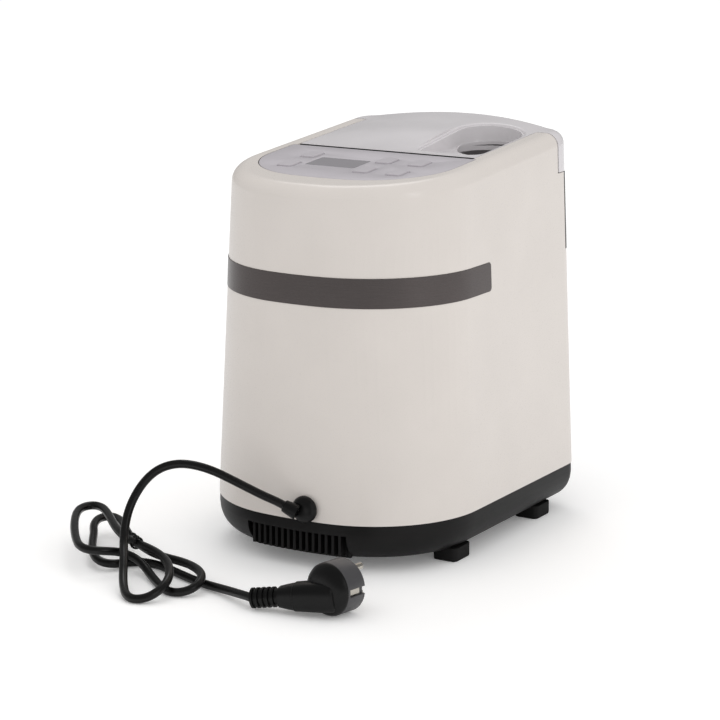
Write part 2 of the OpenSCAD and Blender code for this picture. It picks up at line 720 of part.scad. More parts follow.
module motor_frame() color([0.6, 0.6, 0.62]) at_body() difference() {
    union() {
        rod_y(motor_x, motor_z, stator_r + 4, frame_y, frame_y + frame_t);
        for (a = [45:90:315]) rod_y(motor_x + (stator_r + 1) * cos(a),
            motor_z + (stator_r + 1) * sin(a), 2.5, frame_y, end_y);
        translate([motor_x - 14, frame_y, floor_z])
            cube([28, frame_t, motor_z - floor_z - 10]);
    }
    rod_y(motor_x, motor_z, 3 + run_gap, 0, far);
}
module motor_end_plate() color([0.6, 0.6, 0.62]) at_body() difference() {
    union() {
        rod_y(motor_x, motor_z, stator_r + 4, end_y, end_y + frame_t);
        translate([motor_x - 14, end_y, floor_z]) cube([28, frame_t, motor_z - floor_z - 10]);
    }
    rod_y(motor_x, motor_z, 3 + run_gap, 0, far);
    for (a = [0:45:315]) rod_y(motor_x + 25 * cos(a), motor_z + 25 * sin(a), 5, 0, far);
}
module power_board() color([0.12, 0.4, 0.22]) at_body() {
    translate([board_x - board_w / 2, board_y - board_l / 2, board_z])
        cube([board_w, board_l, board_t]);
    translate([board_x - 14, board_y, board_z]) cylinder(r = 8, h = 24);
    translate([board_x + 6, board_y - 14, board_z]) cube([16, 22, 14]);
    translate([board_x + 8, board_y + 12, board_z]) cylinder(r = 5, h = 14);
}

// ---- Cord, gland and plug ----
module cord_gland() color([0.1, 0.1, 0.1]) at_body() {
    y = gland_at[1];
    rod_y(gland_at[0], gland_at[2], gland_r, y + 0.3, y + 4);
    rod_y(gland_at[0], gland_at[2], gland_r - 1.5, y + 3, y + gland_out);
    rod_y(gland_at[0], gland_at[2], gland_r - 3, y - wall - 6, y + 2);
    aim(lead_pts[0], lead_pts[0] * 2 - lead_pts[1]) cylinder(r = sleeve_r, h = sleeve_l);
}
module cord_lead() color([0.09, 0.09, 0.09]) at_body() route_tube(0, lead_end, 8);
module cord_hank() color([0.09, 0.09, 0.09]) at_body() route_tube(lead_end, hank_end, 6);
module cord_tail() color([0.09, 0.09, 0.09]) at_body()
    route_tube(hank_end, len(route) - 1, 8);
tie_at = [100, 203, 16.5];
tie_r = 14.5;
tie_wire = 0.9;
module twist_tie() color([0.05, 0.05, 0.05]) at_body() translate(tie_at)
    rotate([90, 0, 62]) {
        rotate_extrude() translate([tie_r, 0]) circle(tie_wire);
        for (a = [76, 96]) rotate([0, 0, a]) translate([tie_r, 0, 0]) rotate([0, 90, 0])
            cylinder(r = tie_wire, h = 9);
    }
module plug_body() color([0.1, 0.1, 0.1]) at_body() {
    difference() {
        union() {
            at_plug() rotate_extrude() polygon([[0, -30], [12, -28], [16, -24], [18, -19],
                [plug_r, -plug_depth], [plug_r, -1], [plug_r - 1, 0], [0, 0]]);
            hull() {
                aim(grip_start, grip_end) cylinder(r = relief_r, h = 1);
                aim(grip_start, grip_end) translate([0, 0, 14]) cylinder(r = grip_r - 1.4, h = 1);
                translate(grip_end) sphere(grip_r, $fn = 24);
            }
            aim(plug_start, grip_start) {
                cylinder(r = relief_r - 1.4, h = norm(grip_start - plug_start) + 2);
                for (k = [0:4]) translate([0, 0, k * 3.9]) cylinder(r = relief_r, h = 2.2);
            }
        }
        // side slots of the earth contacts and prong seats
        at_plug() {
            for (s = [0, 180]) rotate([0, 0, s]) translate([plug_r - 3.5, -3, -plug_depth + 1])
                cube([10, 6, 30]);
            for (sy = [-1, 1]) translate([0, sy * prong_gap / 2, -6]) cylinder(r = prong_r, h = 10);
        }
    }
}
module plug_pins() color([0.8, 0.78, 0.74]) at_body() at_plug() for (sy = [-1, 1])
    translate([0, sy * prong_gap / 2, -6]) cylinder(r = prong_r, h = prong_l + 6);
module plug_earth_clips() color([0.8, 0.78, 0.74]) at_body() at_plug() for (s = [0, 180])
    rotate([0, 0, s]) translate([plug_r - 3.4, -2.4, -plug_depth + 1.2]) cube([1.2, 4.8, plug_depth - 2]);

// ---- Lid ----
crown_rows = [12, hinge_y, -4, -11, -19, -28, -38, -49, hinge_y - 60, -80, -110, -150];
crown_cols = [-112, -lid_half, -66, -55, -42, -28, -14, 0, 14, 28, 42, 55, 66, lid_half, 112];
// Block under the crowned top, as a grid of heights.
module crown_block() {
    n = len(crown_cols);
    m = len(crown_rows);
    top = [for (y = crown_rows) for (x = crown_cols) [x, y, ztop(y) + crown(x, y)]];
    low = [for (y = crown_rows) for (x = crown_cols) [x, y, 200]];
    polyhedron(concat(top, low), concat(
        [for (i = [0:m - 2]) for (j = [0:n - 2]) let (a = i * n + j)
            each [[a, a + 1, a + n + 1], [a, a + n + 1, a + n]]],
        [for (i = [0:m - 2]) for (j = [0:n - 2]) let (a = (m + i) * n + j)
            each [[a, a + n, a + n + 1], [a, a + n + 1, a + 1]]],
        [for (j = [0:n - 2]) each [[j, m * n + j, m * n + j + 1], [j, m * n + j + 1, j + 1]]],
        [for (j = [0:n - 2]) let (a = (m - 1) * n + j, b = a + m * n)
            each [[a, a + 1, b + 1], [a, b + 1, b]]],
        [for (i = [0:m - 2]) let (a = i * n, b = a + m * n)
            each [[a, a + n, b + n], [a, b + n, b]]],
        [for (i = [0:m - 2]) let (a = i * n + n - 1, b = a + m * n)
            each [[a, b, b + n], [a, b + n, a + n]]]), convexity = 6);
}
// Housing form with the crowned top.
module lid_skin() intersection() {
    loft(concat([level_ring(0, seam_z)],
        [for (t = [0:22.5:67.5])
            top_ring(top_round * (1 - cos(t)), top_round * (1 - sin(t)), 1)],
        [top_ring(top_round, -0.05, 1), top_ring(top_round + 8, -4, 1),
            top_ring(40, -12, 1)]));
    crown_block();
}
module lid_zone(inset) {
    translate([0, 0, rim_z + 2.8 - (inset > 0 ? 3 : 0)]) linear_extrude(far)
        translate([-lid_half + inset, inset > 0 ? -far : -lid_step - eps])
            square([lid_w - 2 * inset, (inset > 0 ? far : lid_step + eps) + hinge_y - inset]);
    translate([-far, -far - lid_step - inset, apron_z - (inset > 0 ? 3 : 0)])
        cube([2 * far, far, far]);
}
module tray_plan(grow) {
    hull() {
        translate([tray_x, throat_y]) circle(tray_r + grow, $fn = 64);
        for (s = [-1, 1])
            translate([tray_x + s * (tray_r - tray_corner_r), tray_back - tray_corner_r])
                circle(tray_corner_r + grow, $fn = 32);
    }
}
module over_top(drop) {
    on_top(drop) translate([-far, -far, 0]) cube([2 * far, 2 * far, 2 * far]);
}
module lid_shell() color([0.77, 0.75, 0.76]) at_body() difference() {
    union() {
        difference() {
            intersection() { lid_skin(); lid_zone(0); }
            intersection() {
                translate([0, 0, -eps]) body_skin(lid_wall, lid_wall);
                lid_zone(lid_wall);
            }
        }
        translate([-lid_half, hinge_y, hinge_z]) rotate([0, 90, 0])
            cylinder(r = barrel_r, h = lid_w);
    }
    translate([0, 0, 100]) linear_extrude(far) tray_plan(0.1);
    for (s = [0, 1]) mirror([s, 0, 0]) translate([lid_half - 18, hinge_y, hinge_z])
        rotate([0, 90, 0]) cylinder(r = pin_r + run_gap, h = 20);
}
module pour_tray() color([0.77, 0.75, 0.76]) at_body() difference() {
    union() {
        intersection() {
            lid_skin();
            translate([0, 0, 100]) linear_extrude(far) tray_plan(0);
            over_top(tray_depth + tray_wall);
        }
        translate([tray_x, throat_y, throat_low])
            cylinder(r = throat_r + tray_wall - 0.1, h = throat_top - throat_low, $fn = 64);
    }
    intersection() {
        translate([0, 0, 100]) linear_extrude(far) tray_plan(-tray_wall);
        over_top(tray_depth);
    }
    translate([tray_x, throat_y, 100]) cylinder(r = throat_r, h = far, $fn = 64);
}
module funnel_strainer() color([0.5, 0.49, 0.5]) at_body() translate([tray_x, throat_y, throat_low]) {
    h = throat_top - throat_low - 2;
    difference() {
        cylinder(r = throat_r - 0.3, h = h);
        translate([0, 0, -1]) cylinder(r = throat_r - 2.2, h = h + 2);
        for (k = [0:strainer_n - 1]) rotate([0, 0, k * 360 / strainer_n])
            translate([throat_r - 4, -1, 3]) cube([6, 2, h - 6]);
    }
    for (x = [-15:6:15]) translate([x - 1, -sqrt(pow(throat_r - 1, 2) - x * x), 0])
        cube([2, 2 * sqrt(pow(throat_r - 1, 2) - x * x), 2]);
}
module lid_seal() color([0.3, 0.3, 0.3]) at_body() translate([0, 0, rim_z + 0.3])
    linear_extrude(2.5) difference() {
        translate([-lid_half + 0.4, -96]) square([lid_w - 0.8, 96 + hinge_y - 0.5]);
        translate([-lid_half + 3, -93]) square([lid_w - 6, 93 + hinge_y - 3]);
    }

// ---- Bowl and extruder ----
bowl_out = bowl_r + bowl_wall;
module bowl_plan(r) {
    translate([0, axis_z]) circle(r, $fn = 96);
    translate([-r, axis_z]) square([2 * r, far]);
}
module mixing_bowl() color([0.62, 0.66, 0.7]) at_body() difference() {
    union() {
        intersection() {
            along_y(-bowl_front, bowl_back_y + bowl_back_t) bowl_plan(bowl_out);
            translate([-far, -far, 0]) cube([2 * far, 2 * far, rim_z]);
        }
        translate([-lid_half + 2, -bowl_front, rim_z - 4])
            cube([lid_w - 4, bowl_front + hinge_y - 1, 4]);
        for (sx = [-1, 1]) translate([sx * 32 - 2, -bowl_front, bay_floor_z + 0.3])
            cube([4, bowl_front + bowl_back_y, 30]);
        for (sx = [-1, 1]) translate([sx * 50 - 2, -body_front + 21, rim_z - 30])
            cube([4, body_front - 20 - bowl_front, 12]);
    }
    along_y(-bowl_front + 3, bowl_back_y) bowl_plan(bowl_r);
    rod_y(0, axis_z, hub_r, 0, far);
    rod_y(0, axis_z, tube_r + tube_wall + run_gap, -far, -bowl_front + 4);
}
module extruder_nose() color([0.3, 0.3, 0.31]) at_body() difference() {
    union() {
        rod_y(0, axis_z, tube_r + tube_wall, -bowl_front - 1, -60);
        rod_y(0, axis_z, 37, -bowl_front - 4, -bowl_front);
        rod_y(0, axis_z, 30, -body_front + 1.5, -bowl_front);
        rod_y(0, axis_z, thread_r, -nose_front, -body_front + 2);
    }
    rod_y(0, axis_z, tube_r, -far, 0);
    translate([-15, -92, axis_z]) cube([30, 28, 40]);
}
module front_panel() color([0.14, 0.13, 0.14]) at_body() difference() {
    intersection() {
        loft([level_ring(-0.6, seam_z), level_ring(-0.6, top_z + 10)]);
        along_y(-far, -wing_y) intersection() {
            front_view(0);
            translate([-far, bay_floor_z + 0.6]) square([2 * far, window_top - bay_floor_z - 0.6]);
        }
    }
    loft([level_ring(2.6, seam_z - 1), level_ring(2.6, top_z + 11)]);
    rod_y(0, axis_z, 30.3, -far, 0);
}
module extruder_screw() color([0.88, 0.87, 0.84]) at_body() {
    blade_r = tube_r - screw_gap;
    translate([0, -61, axis_z]) rotate([90, 0, 0])
        linear_extrude(nose_front - 62, twist = screw_twist, slices = 36) {
            circle(core_r, $fn = 12);
            intersection() {
                square([2 * blade_r + 1, screw_t], center = true);
                circle(blade_r, $fn = 32);
            }
        }
    rod_y(0, axis_z, core_r, -62, bowl_back_y);
    rod_y(0, axis_z, hub_r - run_gap, bowl_back_y - 3, bowl_back_y + bowl_back_t);
    along_y(bowl_back_y, case_front_y + case_t - 1) translate([0, axis_z]) circle(hex_r, $fn = 6);
}
module kneading_paddle() color([0.88, 0.87, 0.84]) at_body() difference() {
    union() {
        rod_y(0, axis_z, 12, -paddle_front, -1);
        for (s = [0, 180]) translate([0, 0, axis_z]) rotate([0, s, 0]) {
            translate([0, -paddle_front + (s > 0 ? 2 : 38), -3.5]) cube([paddle_r, 9, 7]);
            translate([paddle_r - 6, -paddle_front + 2, -3.5]) cube([6, paddle_front - 4, 7]);
        }
    }
    rod_y(0, axis_z, core_r + run_gap, -far, far);
}
module die_ring() color([0.85, 0.84, 0.82]) at_body() difference() {
    rod_y(0, axis_z, ring_r, -ring_front, -ring_rear);
    rod_y(0, axis_z, ring_in_r, -ring_front + ring_lip, 0);
    rod_y(0, axis_z, tube_r + 1, -far, 0);
    for (a = [0:30:330])
        rod_y((ring_r + 2) * cos(a), axis_z + (ring_r + 2) * sin(a), 4.5, -far, -ring_rear - 3);
}
module pasta_die() color([0.9, 0.89, 0.86]) at_body() difference() {
    rod_y(0, axis_z, thread_r - 0.2, -nose_front - 0.2 - die_t, -nose_front - 0.2);
    rod_y(0, axis_z, die_hole_r, -far, 0);
    for (n = [1, 2]) for (k = [0:6 * n - 1])
        rod_y(6 * n * cos(60 * k / n), axis_z + 6 * n * sin(60 * k / n), die_hole_r, -far, 0);
}

base_tray();
rubber_feet();
outer_shell();
trim_band();
bay_liner();
control_panel();
display_window();
key_board();
gear_case_front();
gear_case_rear();
motor_stator();
motor_coils();
motor_frame();
motor_end_plate();
power_board();
hinge_pins();
cord_gland();
cord_lead();
cord_hank();
cord_tail();
twist_tie();
plug_body();
plug_pins();
plug_earth_clips();
lid_shell();
pour_tray();
lid_seal();
funnel_strainer();
mixing_bowl();
extruder_nose();
front_panel();
extruder_screw();
kneading_paddle();
output_shaft();
output_gear();
idler_shaft();
idler_gear();
idler_pinion();
motor_shaft();
motor_pinion();
rotor_core();
cooling_fan();
pasta_die();
die_ring();
key_1();
key_2();
key_3();
key_4();
key_5();
key_6();
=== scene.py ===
"""Dressing of a counter-top electric pasta maker for its render, seen from behind.

Lengths in the classes are millimetres from the drive line's middle plane, as the
solids are drawn; ``at`` turns them into metres in the row frame.
"""

import logging
import math
from dataclasses import dataclass, field
from enum import Enum
from typing import Any, Iterable, Sequence

import bmesh
import bpy
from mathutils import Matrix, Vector


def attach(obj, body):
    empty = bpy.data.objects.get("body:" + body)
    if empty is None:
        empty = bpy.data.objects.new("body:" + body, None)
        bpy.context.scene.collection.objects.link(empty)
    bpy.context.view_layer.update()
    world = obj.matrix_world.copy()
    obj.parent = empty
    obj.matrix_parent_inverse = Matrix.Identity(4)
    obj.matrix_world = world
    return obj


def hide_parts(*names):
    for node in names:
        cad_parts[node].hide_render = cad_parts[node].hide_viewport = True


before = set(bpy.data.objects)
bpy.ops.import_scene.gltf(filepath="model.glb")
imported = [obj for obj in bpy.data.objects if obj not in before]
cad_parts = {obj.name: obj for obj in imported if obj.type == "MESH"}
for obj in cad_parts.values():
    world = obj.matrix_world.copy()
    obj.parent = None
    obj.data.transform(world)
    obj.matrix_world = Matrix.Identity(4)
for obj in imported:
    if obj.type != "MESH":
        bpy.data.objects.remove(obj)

LOG = logging.getLogger("pasta_maker")
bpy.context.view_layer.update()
SHIFT_Y = 7.6
FAR = 400.0
GLAND = (-11.5, 46.4)

Piece = bpy.types.Object
Flat = tuple[float, float]
Place = Sequence[float]
Colour = tuple[float, float, float]


def at(place: Place) -> Vector:
    """Turns a place in millimetres into metres in the row frame."""
    return Vector((place[0], place[1] + SHIFT_Y, place[2])) * 0.001


def paint(red: int, green: int, blue: int) -> Colour:
    """Turns a screen colour of 0 to 255 into the linear colour of a shader."""

    def linear(part: int) -> float:
        """Undoes the screen's curve for one part."""
        share = part / 255
        return share / 12.92 if share <= 0.04045 else ((share + 0.055) / 1.055) ** 2.4

    return linear(red), linear(green), linear(blue)


# ---- Outlines ----


def arc(centre: Flat, radius: float, start: float, stop: float, steps: int) -> list[Flat]:
    """Points along an arc with both ends, its angles in degrees."""
    angles = [math.radians(start + (stop - start) * k / steps) for k in range(steps + 1)]
    return [(centre[0] + radius * math.cos(a), centre[1] + radius * math.sin(a)) for a in angles]


@dataclass(frozen=True)
class Plan:
    """Plan outline made of six tangent arcs."""

    half: float
    back: float
    front: float
    back_r: float
    back_corner: float
    front_r: float
    front_corner: float

    def points(self) -> list[Flat]:
        """Points round the outline, the same number for every plan."""
        rise_back = math.sqrt(
            (self.back_r - self.back_corner) ** 2 - (self.half - self.back_corner) ** 2
        )
        rise_front = math.sqrt(
            (self.front_r - self.front_corner) ** 2 - (self.half - self.front_corner) ** 2
        )
        back = (self.half - self.back_corner, self.back - self.back_r + rise_back)
        front = (self.half - self.front_corner, self.front_r - self.front - rise_front)
        middle = self.front_r - self.front
        turn_b = math.degrees(math.atan2(rise_back, back[0]))
        turn_f = math.degrees(math.atan2(rise_front, front[0]))
        return (
            arc(back, self.back_corner, 0, turn_b, 18)
            + arc((0, self.back - self.back_r), self.back_r, turn_b, 180 - turn_b, 28)[1:-1]
            + arc((-back[0], back[1]), self.back_corner, 180 - turn_b, 180, 18)
            + arc((-front[0], front[1]), self.front_corner, 180, 180 + turn_f, 8)
            + arc((0, middle), self.front_r, 180 + turn_f, 360 - turn_f, 28)[1:-1]
            + arc(front, self.front_corner, 360 - turn_f, 360, 8)
        )


@dataclass(frozen=True)
class Body:
    """Form of the housing that all outer pieces share."""

    width: float = 209.0
    back: float = 140.0
    front: float = 137.5
    seam: float = 37.0
    top: float = 290.8
    tilt: float = 4.34
    side_draft: float = 2.4
    end_draft: float = 1.55
    back_r: float = 252.0
    back_corner: float = 86.0
    front_r: float = 250.0
    front_corner: float = 19.7
    rounding: float = 10.0
    lid_half: float = 75.6
    hinge_y: float = 3.5
    lid_crown: float = 4.5

    def plan(self, inset: float, z: float) -> list[Flat]:
        """Outline at a height, drawn in by an inset."""
        side = math.tan(math.radians(self.side_draft)) * (z - self.seam)
        end = math.tan(math.radians(self.end_draft)) * (z - self.seam)
        return Plan(
            self.width / 2 - inset - side,
            self.back - inset - end,
            self.front - inset - end,
            self.back_r - inset,
            self.back_corner - inset,
            self.front_r - inset,
            max(self.front_corner - inset, 2.0),
        ).points()

    def level(self, inset: float, z: float) -> list[Place]:
        """Outline at a height as places in space."""
        return [(x, y, z) for x, y in self.plan(inset, z)]

    def top_at(self, y: float) -> float:
        """Height of the tilted top face over a depth."""
        return self.top - math.tan(math.radians(self.tilt)) * y

    def crown(self, x: float, y: float) -> float:
        """Rise of the lid over the tilted top, nought along its back and side edges."""
        reach = min(1.0, max(0.0, (self.hinge_y - y) / 60))
        across = max(0.0, 1 - (x / self.lid_half) ** 2)
        return self.lid_crown * across * math.sin(math.radians(90 * reach)) ** 2

    def top_ring(self, inset: float, drop: float) -> list[Place]:
        """Outline that follows the tilted top, below it by a drop."""
        return [(x, y, self.top_at(y) - drop) for x, y in self.plan(inset, self.top - drop)]

    def skin(self, inset: float, drop: float, steps: int = 10) -> list[list[Place]]:
        """Rings of the housing's closed skin.

        Args:
            inset: Distance inwards from the outer skin.
            drop: Distance below the top face.
            steps: Chords of the rounding round the top.

        Returns:
            The rings from the seam to the top.
        """
        r = max(self.rounding - inset, 1.0)
        rings = [self.level(inset, self.seam - (1.0 if inset else 0.0))]
        for k in range(steps + 1):
            turn = math.radians(90 * k / steps)
            inwards, under = r * (1 - math.cos(turn)), r * (1 - math.sin(turn))
            rings.append(self.top_ring(inset + inwards, drop + under))
        return rings + [self.top_ring(inset + r + 0.6, drop)]

    def on_top(self, x: float, y: float, up: float = 0.0) -> Place:
        """Place in the top face's own axes, its third one outwards."""
        cos, sin = math.cos(math.radians(self.tilt)), math.sin(math.radians(self.tilt))
        return (x, y * cos + up * sin, self.top - y * sin + up * cos)


BODY = Body()


def rounded_box(width: float, length: float, radius: float, steps: int = 6) -> list[Flat]:
    """Outline of a rectangle with round corners about the origin."""
    a, b = width / 2 - radius, length / 2 - radius
    return (
        arc((a, b), radius, 0, 90, steps)
        + arc((-a, b), radius, 90, 180, steps)
        + arc((-a, -b), radius, 180, 270, steps)
        + arc((a, -b), radius, 270, 360, steps)
    )


def soft_edge(radius: float) -> list[Flat]:
    """Inset and drop below the edge's top at four places of a quarter round."""
    turns = [math.radians(a) for a in (20, 40, 60, 80)]
    return [(radius * (1 - math.cos(t)), radius * (1 - math.sin(t))) for t in turns]


def smooth_route(places: Sequence[Place], steps: int) -> list[Vector]:
    """Smooth line through given places.

    Args:
        places: Places on the line.
        steps: Parts between two places.

    Returns:
        Places along the line in the same unit.
    """
    pts = [Vector(p) for p in places]
    line: list[Vector] = []
    for i in range(len(pts) - 1):
        a, b, c, d = pts[max(i - 1, 0)], pts[i], pts[i + 1], pts[min(i + 2, len(pts) - 1)]
        for k in range(steps):
            u = k / steps
            line.append(
                0.5
                * (
                    2 * b
                    + (c - a) * u
                    + (2 * a - 5 * b + 4 * c - d) * u * u
                    + (3 * b - a - 3 * c + d) * u * u * u
                )
            )
    return line + [pts[-1]]


# ---- Modelling bench ----


class Cut(Enum):
    """What a tool does to the piece that it meets."""

    AWAY = "DIFFERENCE"
    KEEP = "INTERSECT"
    JOIN = "UNION"


class Bench:
    """Modelling steps made with Blender's own operators."""

    @staticmethod
    def clear() -> None:
        """Goes back to object mode with nothing selected."""
        if bpy.context.mode != "OBJECT":
            bpy.ops.object.mode_set(mode="OBJECT")
        bpy.ops.object.select_all(action="DESELECT")

    @classmethod
    def only(cls, piece: Piece) -> Piece:
        """Selects one piece and makes it the active one."""
        cls.clear()
        piece.select_set(True)
        bpy.context.view_layer.objects.active = piece
        return piece

    @classmethod
    def edit(cls, piece: Piece) -> None:
        """Opens one piece in edit mode."""
        cls.only(piece)
        bpy.ops.object.mode_set(mode="EDIT")

    @classmethod
    def named(cls, name: str) -> Piece:
        """Names the active piece and bakes its place into its mesh."""
        piece = cls.only(bpy.context.object)
        bpy.ops.object.transform_apply(location=True, rotation=True, scale=True)
        piece.name = piece.data.name = name
        return piece

    @classmethod
    def skin(cls, name: str, rings: Sequence[Sequence[Place]]) -> Piece:
        """Closed skin: a filled circle extruded from ring to ring.

        Args:
            name: Name of the piece.
            rings: Rings in millimetres, all with the same number of places.

        Returns:
            The piece.
        """
        cls.clear()
        count = len(rings[0])
        bpy.ops.mesh.primitive_circle_add(vertices=count, radius=0.1)
        piece = bpy.context.object
        piece.name = piece.data.name = name
        bpy.ops.object.mode_set(mode="EDIT")
        bpy.ops.mesh.select_all(action="SELECT")
        loop = list(range(count))
        for ring in rings:
            if ring is not rings[0]:
                bpy.ops.mesh.extrude_region_move()
            mesh = bmesh.from_edit_mesh(piece.data)
            mesh.verts.index_update()
            mesh.verts.ensure_lookup_table()
            if ring is not rings[0]:
                loop = [
                    next(
                        e.other_vert(mesh.verts[i]).index
                        for e in mesh.verts[i].link_edges
                        if e.other_vert(mesh.verts[i]).select
                    )
                    for i in loop
                ]
            for i, place in zip(loop, ring):
                mesh.verts[i].co = at(place)
            bmesh.update_edit_mesh(piece.data)
        bpy.ops.mesh.edge_face_add()
        bpy.ops.mesh.select_all(action="DESELECT")
        mesh = bmesh.from_edit_mesh(piece.data)
        mesh.verts.ensure_lookup_table()
        for i in range(count):
            mesh.verts[i].select = True
        mesh.select_flush_mode()
        for edge in mesh.edges:
            edge.select = all(v.select for v in edge.verts)
        bmesh.update_edit_mesh(piece.data)
        bpy.ops.mesh.edge_face_add()
        cls.outwards()
        return cls.only(piece)

    @staticmethod
    def outwards() -> None:
        """Turns the faces of the piece in edit mode outwards."""
        bpy.ops.mesh.select_all(action="SELECT")
        bpy.ops.mesh.normals_make_consistent(inside=False)
        bpy.ops.object.mode_set(mode="OBJECT")

    @classmethod
    def block(cls, low: Place, high: Place, name: str = "block") -> Piece:
        """Box between two corners."""
        a, b = at(low), at(high)
        cls.clear()
        bpy.ops.mesh.primitive_cube_add(size=1.0, location=(a + b) / 2, scale=b - a)
        return cls.named(name)

    @classmethod
    def rod(
        cls, start: Place, stop: Place, radius: float, sides: int = 64, name: str = "rod"
    ) -> Piece:
        """Round rod between two places.

        Args:
            start: Middle of one end.
            stop: Middle of the other end.
            radius: Radius.
            sides: Number of sides.
            name: Name of the piece.

        Returns:
            The piece.
        """
        a, b = at(start), at(stop)
        cls.clear()
        bpy.ops.mesh.primitive_cylinder_add(
            vertices=sides,
            radius=radius * 0.001,
            depth=(b - a).length,
            location=(a + b) / 2,
            rotation=(b - a).to_track_quat("Z", "Y").to_euler(),
        )
        return cls.named(name)

    @classmethod
    def cut(cls, piece: Piece, tool: Piece, how: Cut = Cut.AWAY) -> Piece:
        """Cuts, keeps or joins where a tool meets a piece, and uses the tool up.

        Args:
            piece: The piece to work on.
            tool: The other solid.
            how: What happens where they meet.

        Returns:
            The piece.
        """
        cls.only(piece)
        bpy.ops.object.modifier_add(type="BOOLEAN")
        step = piece.modifiers[-1]
        step.object, step.operation, step.solver = tool, how.value, "EXACT"
        bpy.ops.object.modifier_apply(modifier=step.name)
        bpy.data.objects.remove(tool)
        return piece

    @classmethod
    def score(cls, piece: Piece, lines: Iterable[tuple[Place, Place]]) -> None:
        """Scores new edges into a piece where planes pass through it.

        Args:
            piece: The piece.
            lines: A place on each plane and the plane's direction.
        """
        cls.edit(piece)
        for place, direction in lines:
            bpy.ops.mesh.select_all(action="SELECT")
            bpy.ops.mesh.bisect(plane_co=at(place), plane_no=direction, threshold=0.00001)
        bpy.ops.object.mode_set(mode="OBJECT")

    @classmethod
    def bevel(cls, piece: Piece, width: float, angle: float = 50.0) -> None:
        """Rounds the edges that turn more than an angle.

        Args:
            piece: The piece.
            width: Width of the rounding in millimetres.
            angle: Least turn of an edge in degrees.
        """
        cls.edit(piece)
        bpy.ops.mesh.select_mode(type="EDGE")
        bpy.ops.mesh.select_all(action="DESELECT")
        mesh = bmesh.from_edit_mesh(piece.data)
        for edge in mesh.edges:
            sharp = len(edge.link_faces) == 2 and edge.calc_face_angle(0.0) > math.radians(angle)
            edge.select = sharp
        bmesh.update_edit_mesh(piece.data)
        bpy.ops.mesh.bevel(offset=width * 0.001, segments=2, profile=0.5, clamp_overlap=True)
        bpy.ops.mesh.select_mode(type="VERT")
        bpy.ops.object.mode_set(mode="OBJECT")

    @classmethod
    def joined(cls, pieces: Sequence[Piece], name: str) -> Piece:
        """Joins pieces into one mesh, each still a closed part of it."""
        cls.clear()
        for piece in pieces:
            piece.select_set(True)
        bpy.context.view_layer.objects.active = pieces[0]
        bpy.ops.object.join()
        return cls.named(name)

    @classmethod
    def smooth(cls, piece: Piece, angle: float = 30.0) -> Piece:
        """Shades a piece smooth except over edges that turn more than an angle."""
        cls.only(piece)
        bpy.ops.object.shade_smooth_by_angle(angle=math.radians(angle))
        return piece

    @classmethod
    def refined(cls, node: str, angle: float = 32.0) -> Piece:
        """Copy of a solid with its loose triangles merged and smooth shading.

        Args:
            node: Name of the solid.
            angle: Least turn of an edge that stays crisp.

        Returns:
            The copy, which stands for the solid.
        """
        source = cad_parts[node]
        piece = bpy.data.objects.new(node + "_dressed", source.data.copy())
        bpy.context.scene.collection.objects.link(piece)
        piece.data.materials.clear()
        cls.edit(piece)
        bpy.ops.mesh.select_all(action="SELECT")
        bpy.ops.mesh.remove_doubles(threshold=0.000005)
        bpy.ops.mesh.tris_convert_to_quads(face_threshold=0.01, shape_threshold=0.7)
        bpy.ops.object.mode_set(mode="OBJECT")
        return cls.smooth(piece, angle)


# ---- Shader sheets ----


class Wire:
    """Shader socket on which Python's operators add Math nodes."""

    def __init__(self, sheet: "Sheet", socket: bpy.types.NodeSocket) -> None:
        """Wraps an output socket of a sheet."""
        self.sheet = sheet
        self.socket = socket

    def math(self, operation: str, first: Any, second: Any) -> "Wire":
        """Adds a Math node."""
        return self.sheet.node("ShaderNodeMath", {"operation": operation}, {0: first, 1: second})

    def __add__(self, other: Any) -> "Wire":
        """Sum."""
        return self.math("ADD", self, other)

    __radd__ = __add__

    def __mul__(self, other: Any) -> "Wire":
        """Product."""
        return self.math("MULTIPLY", self, other)

    __rmul__ = __mul__


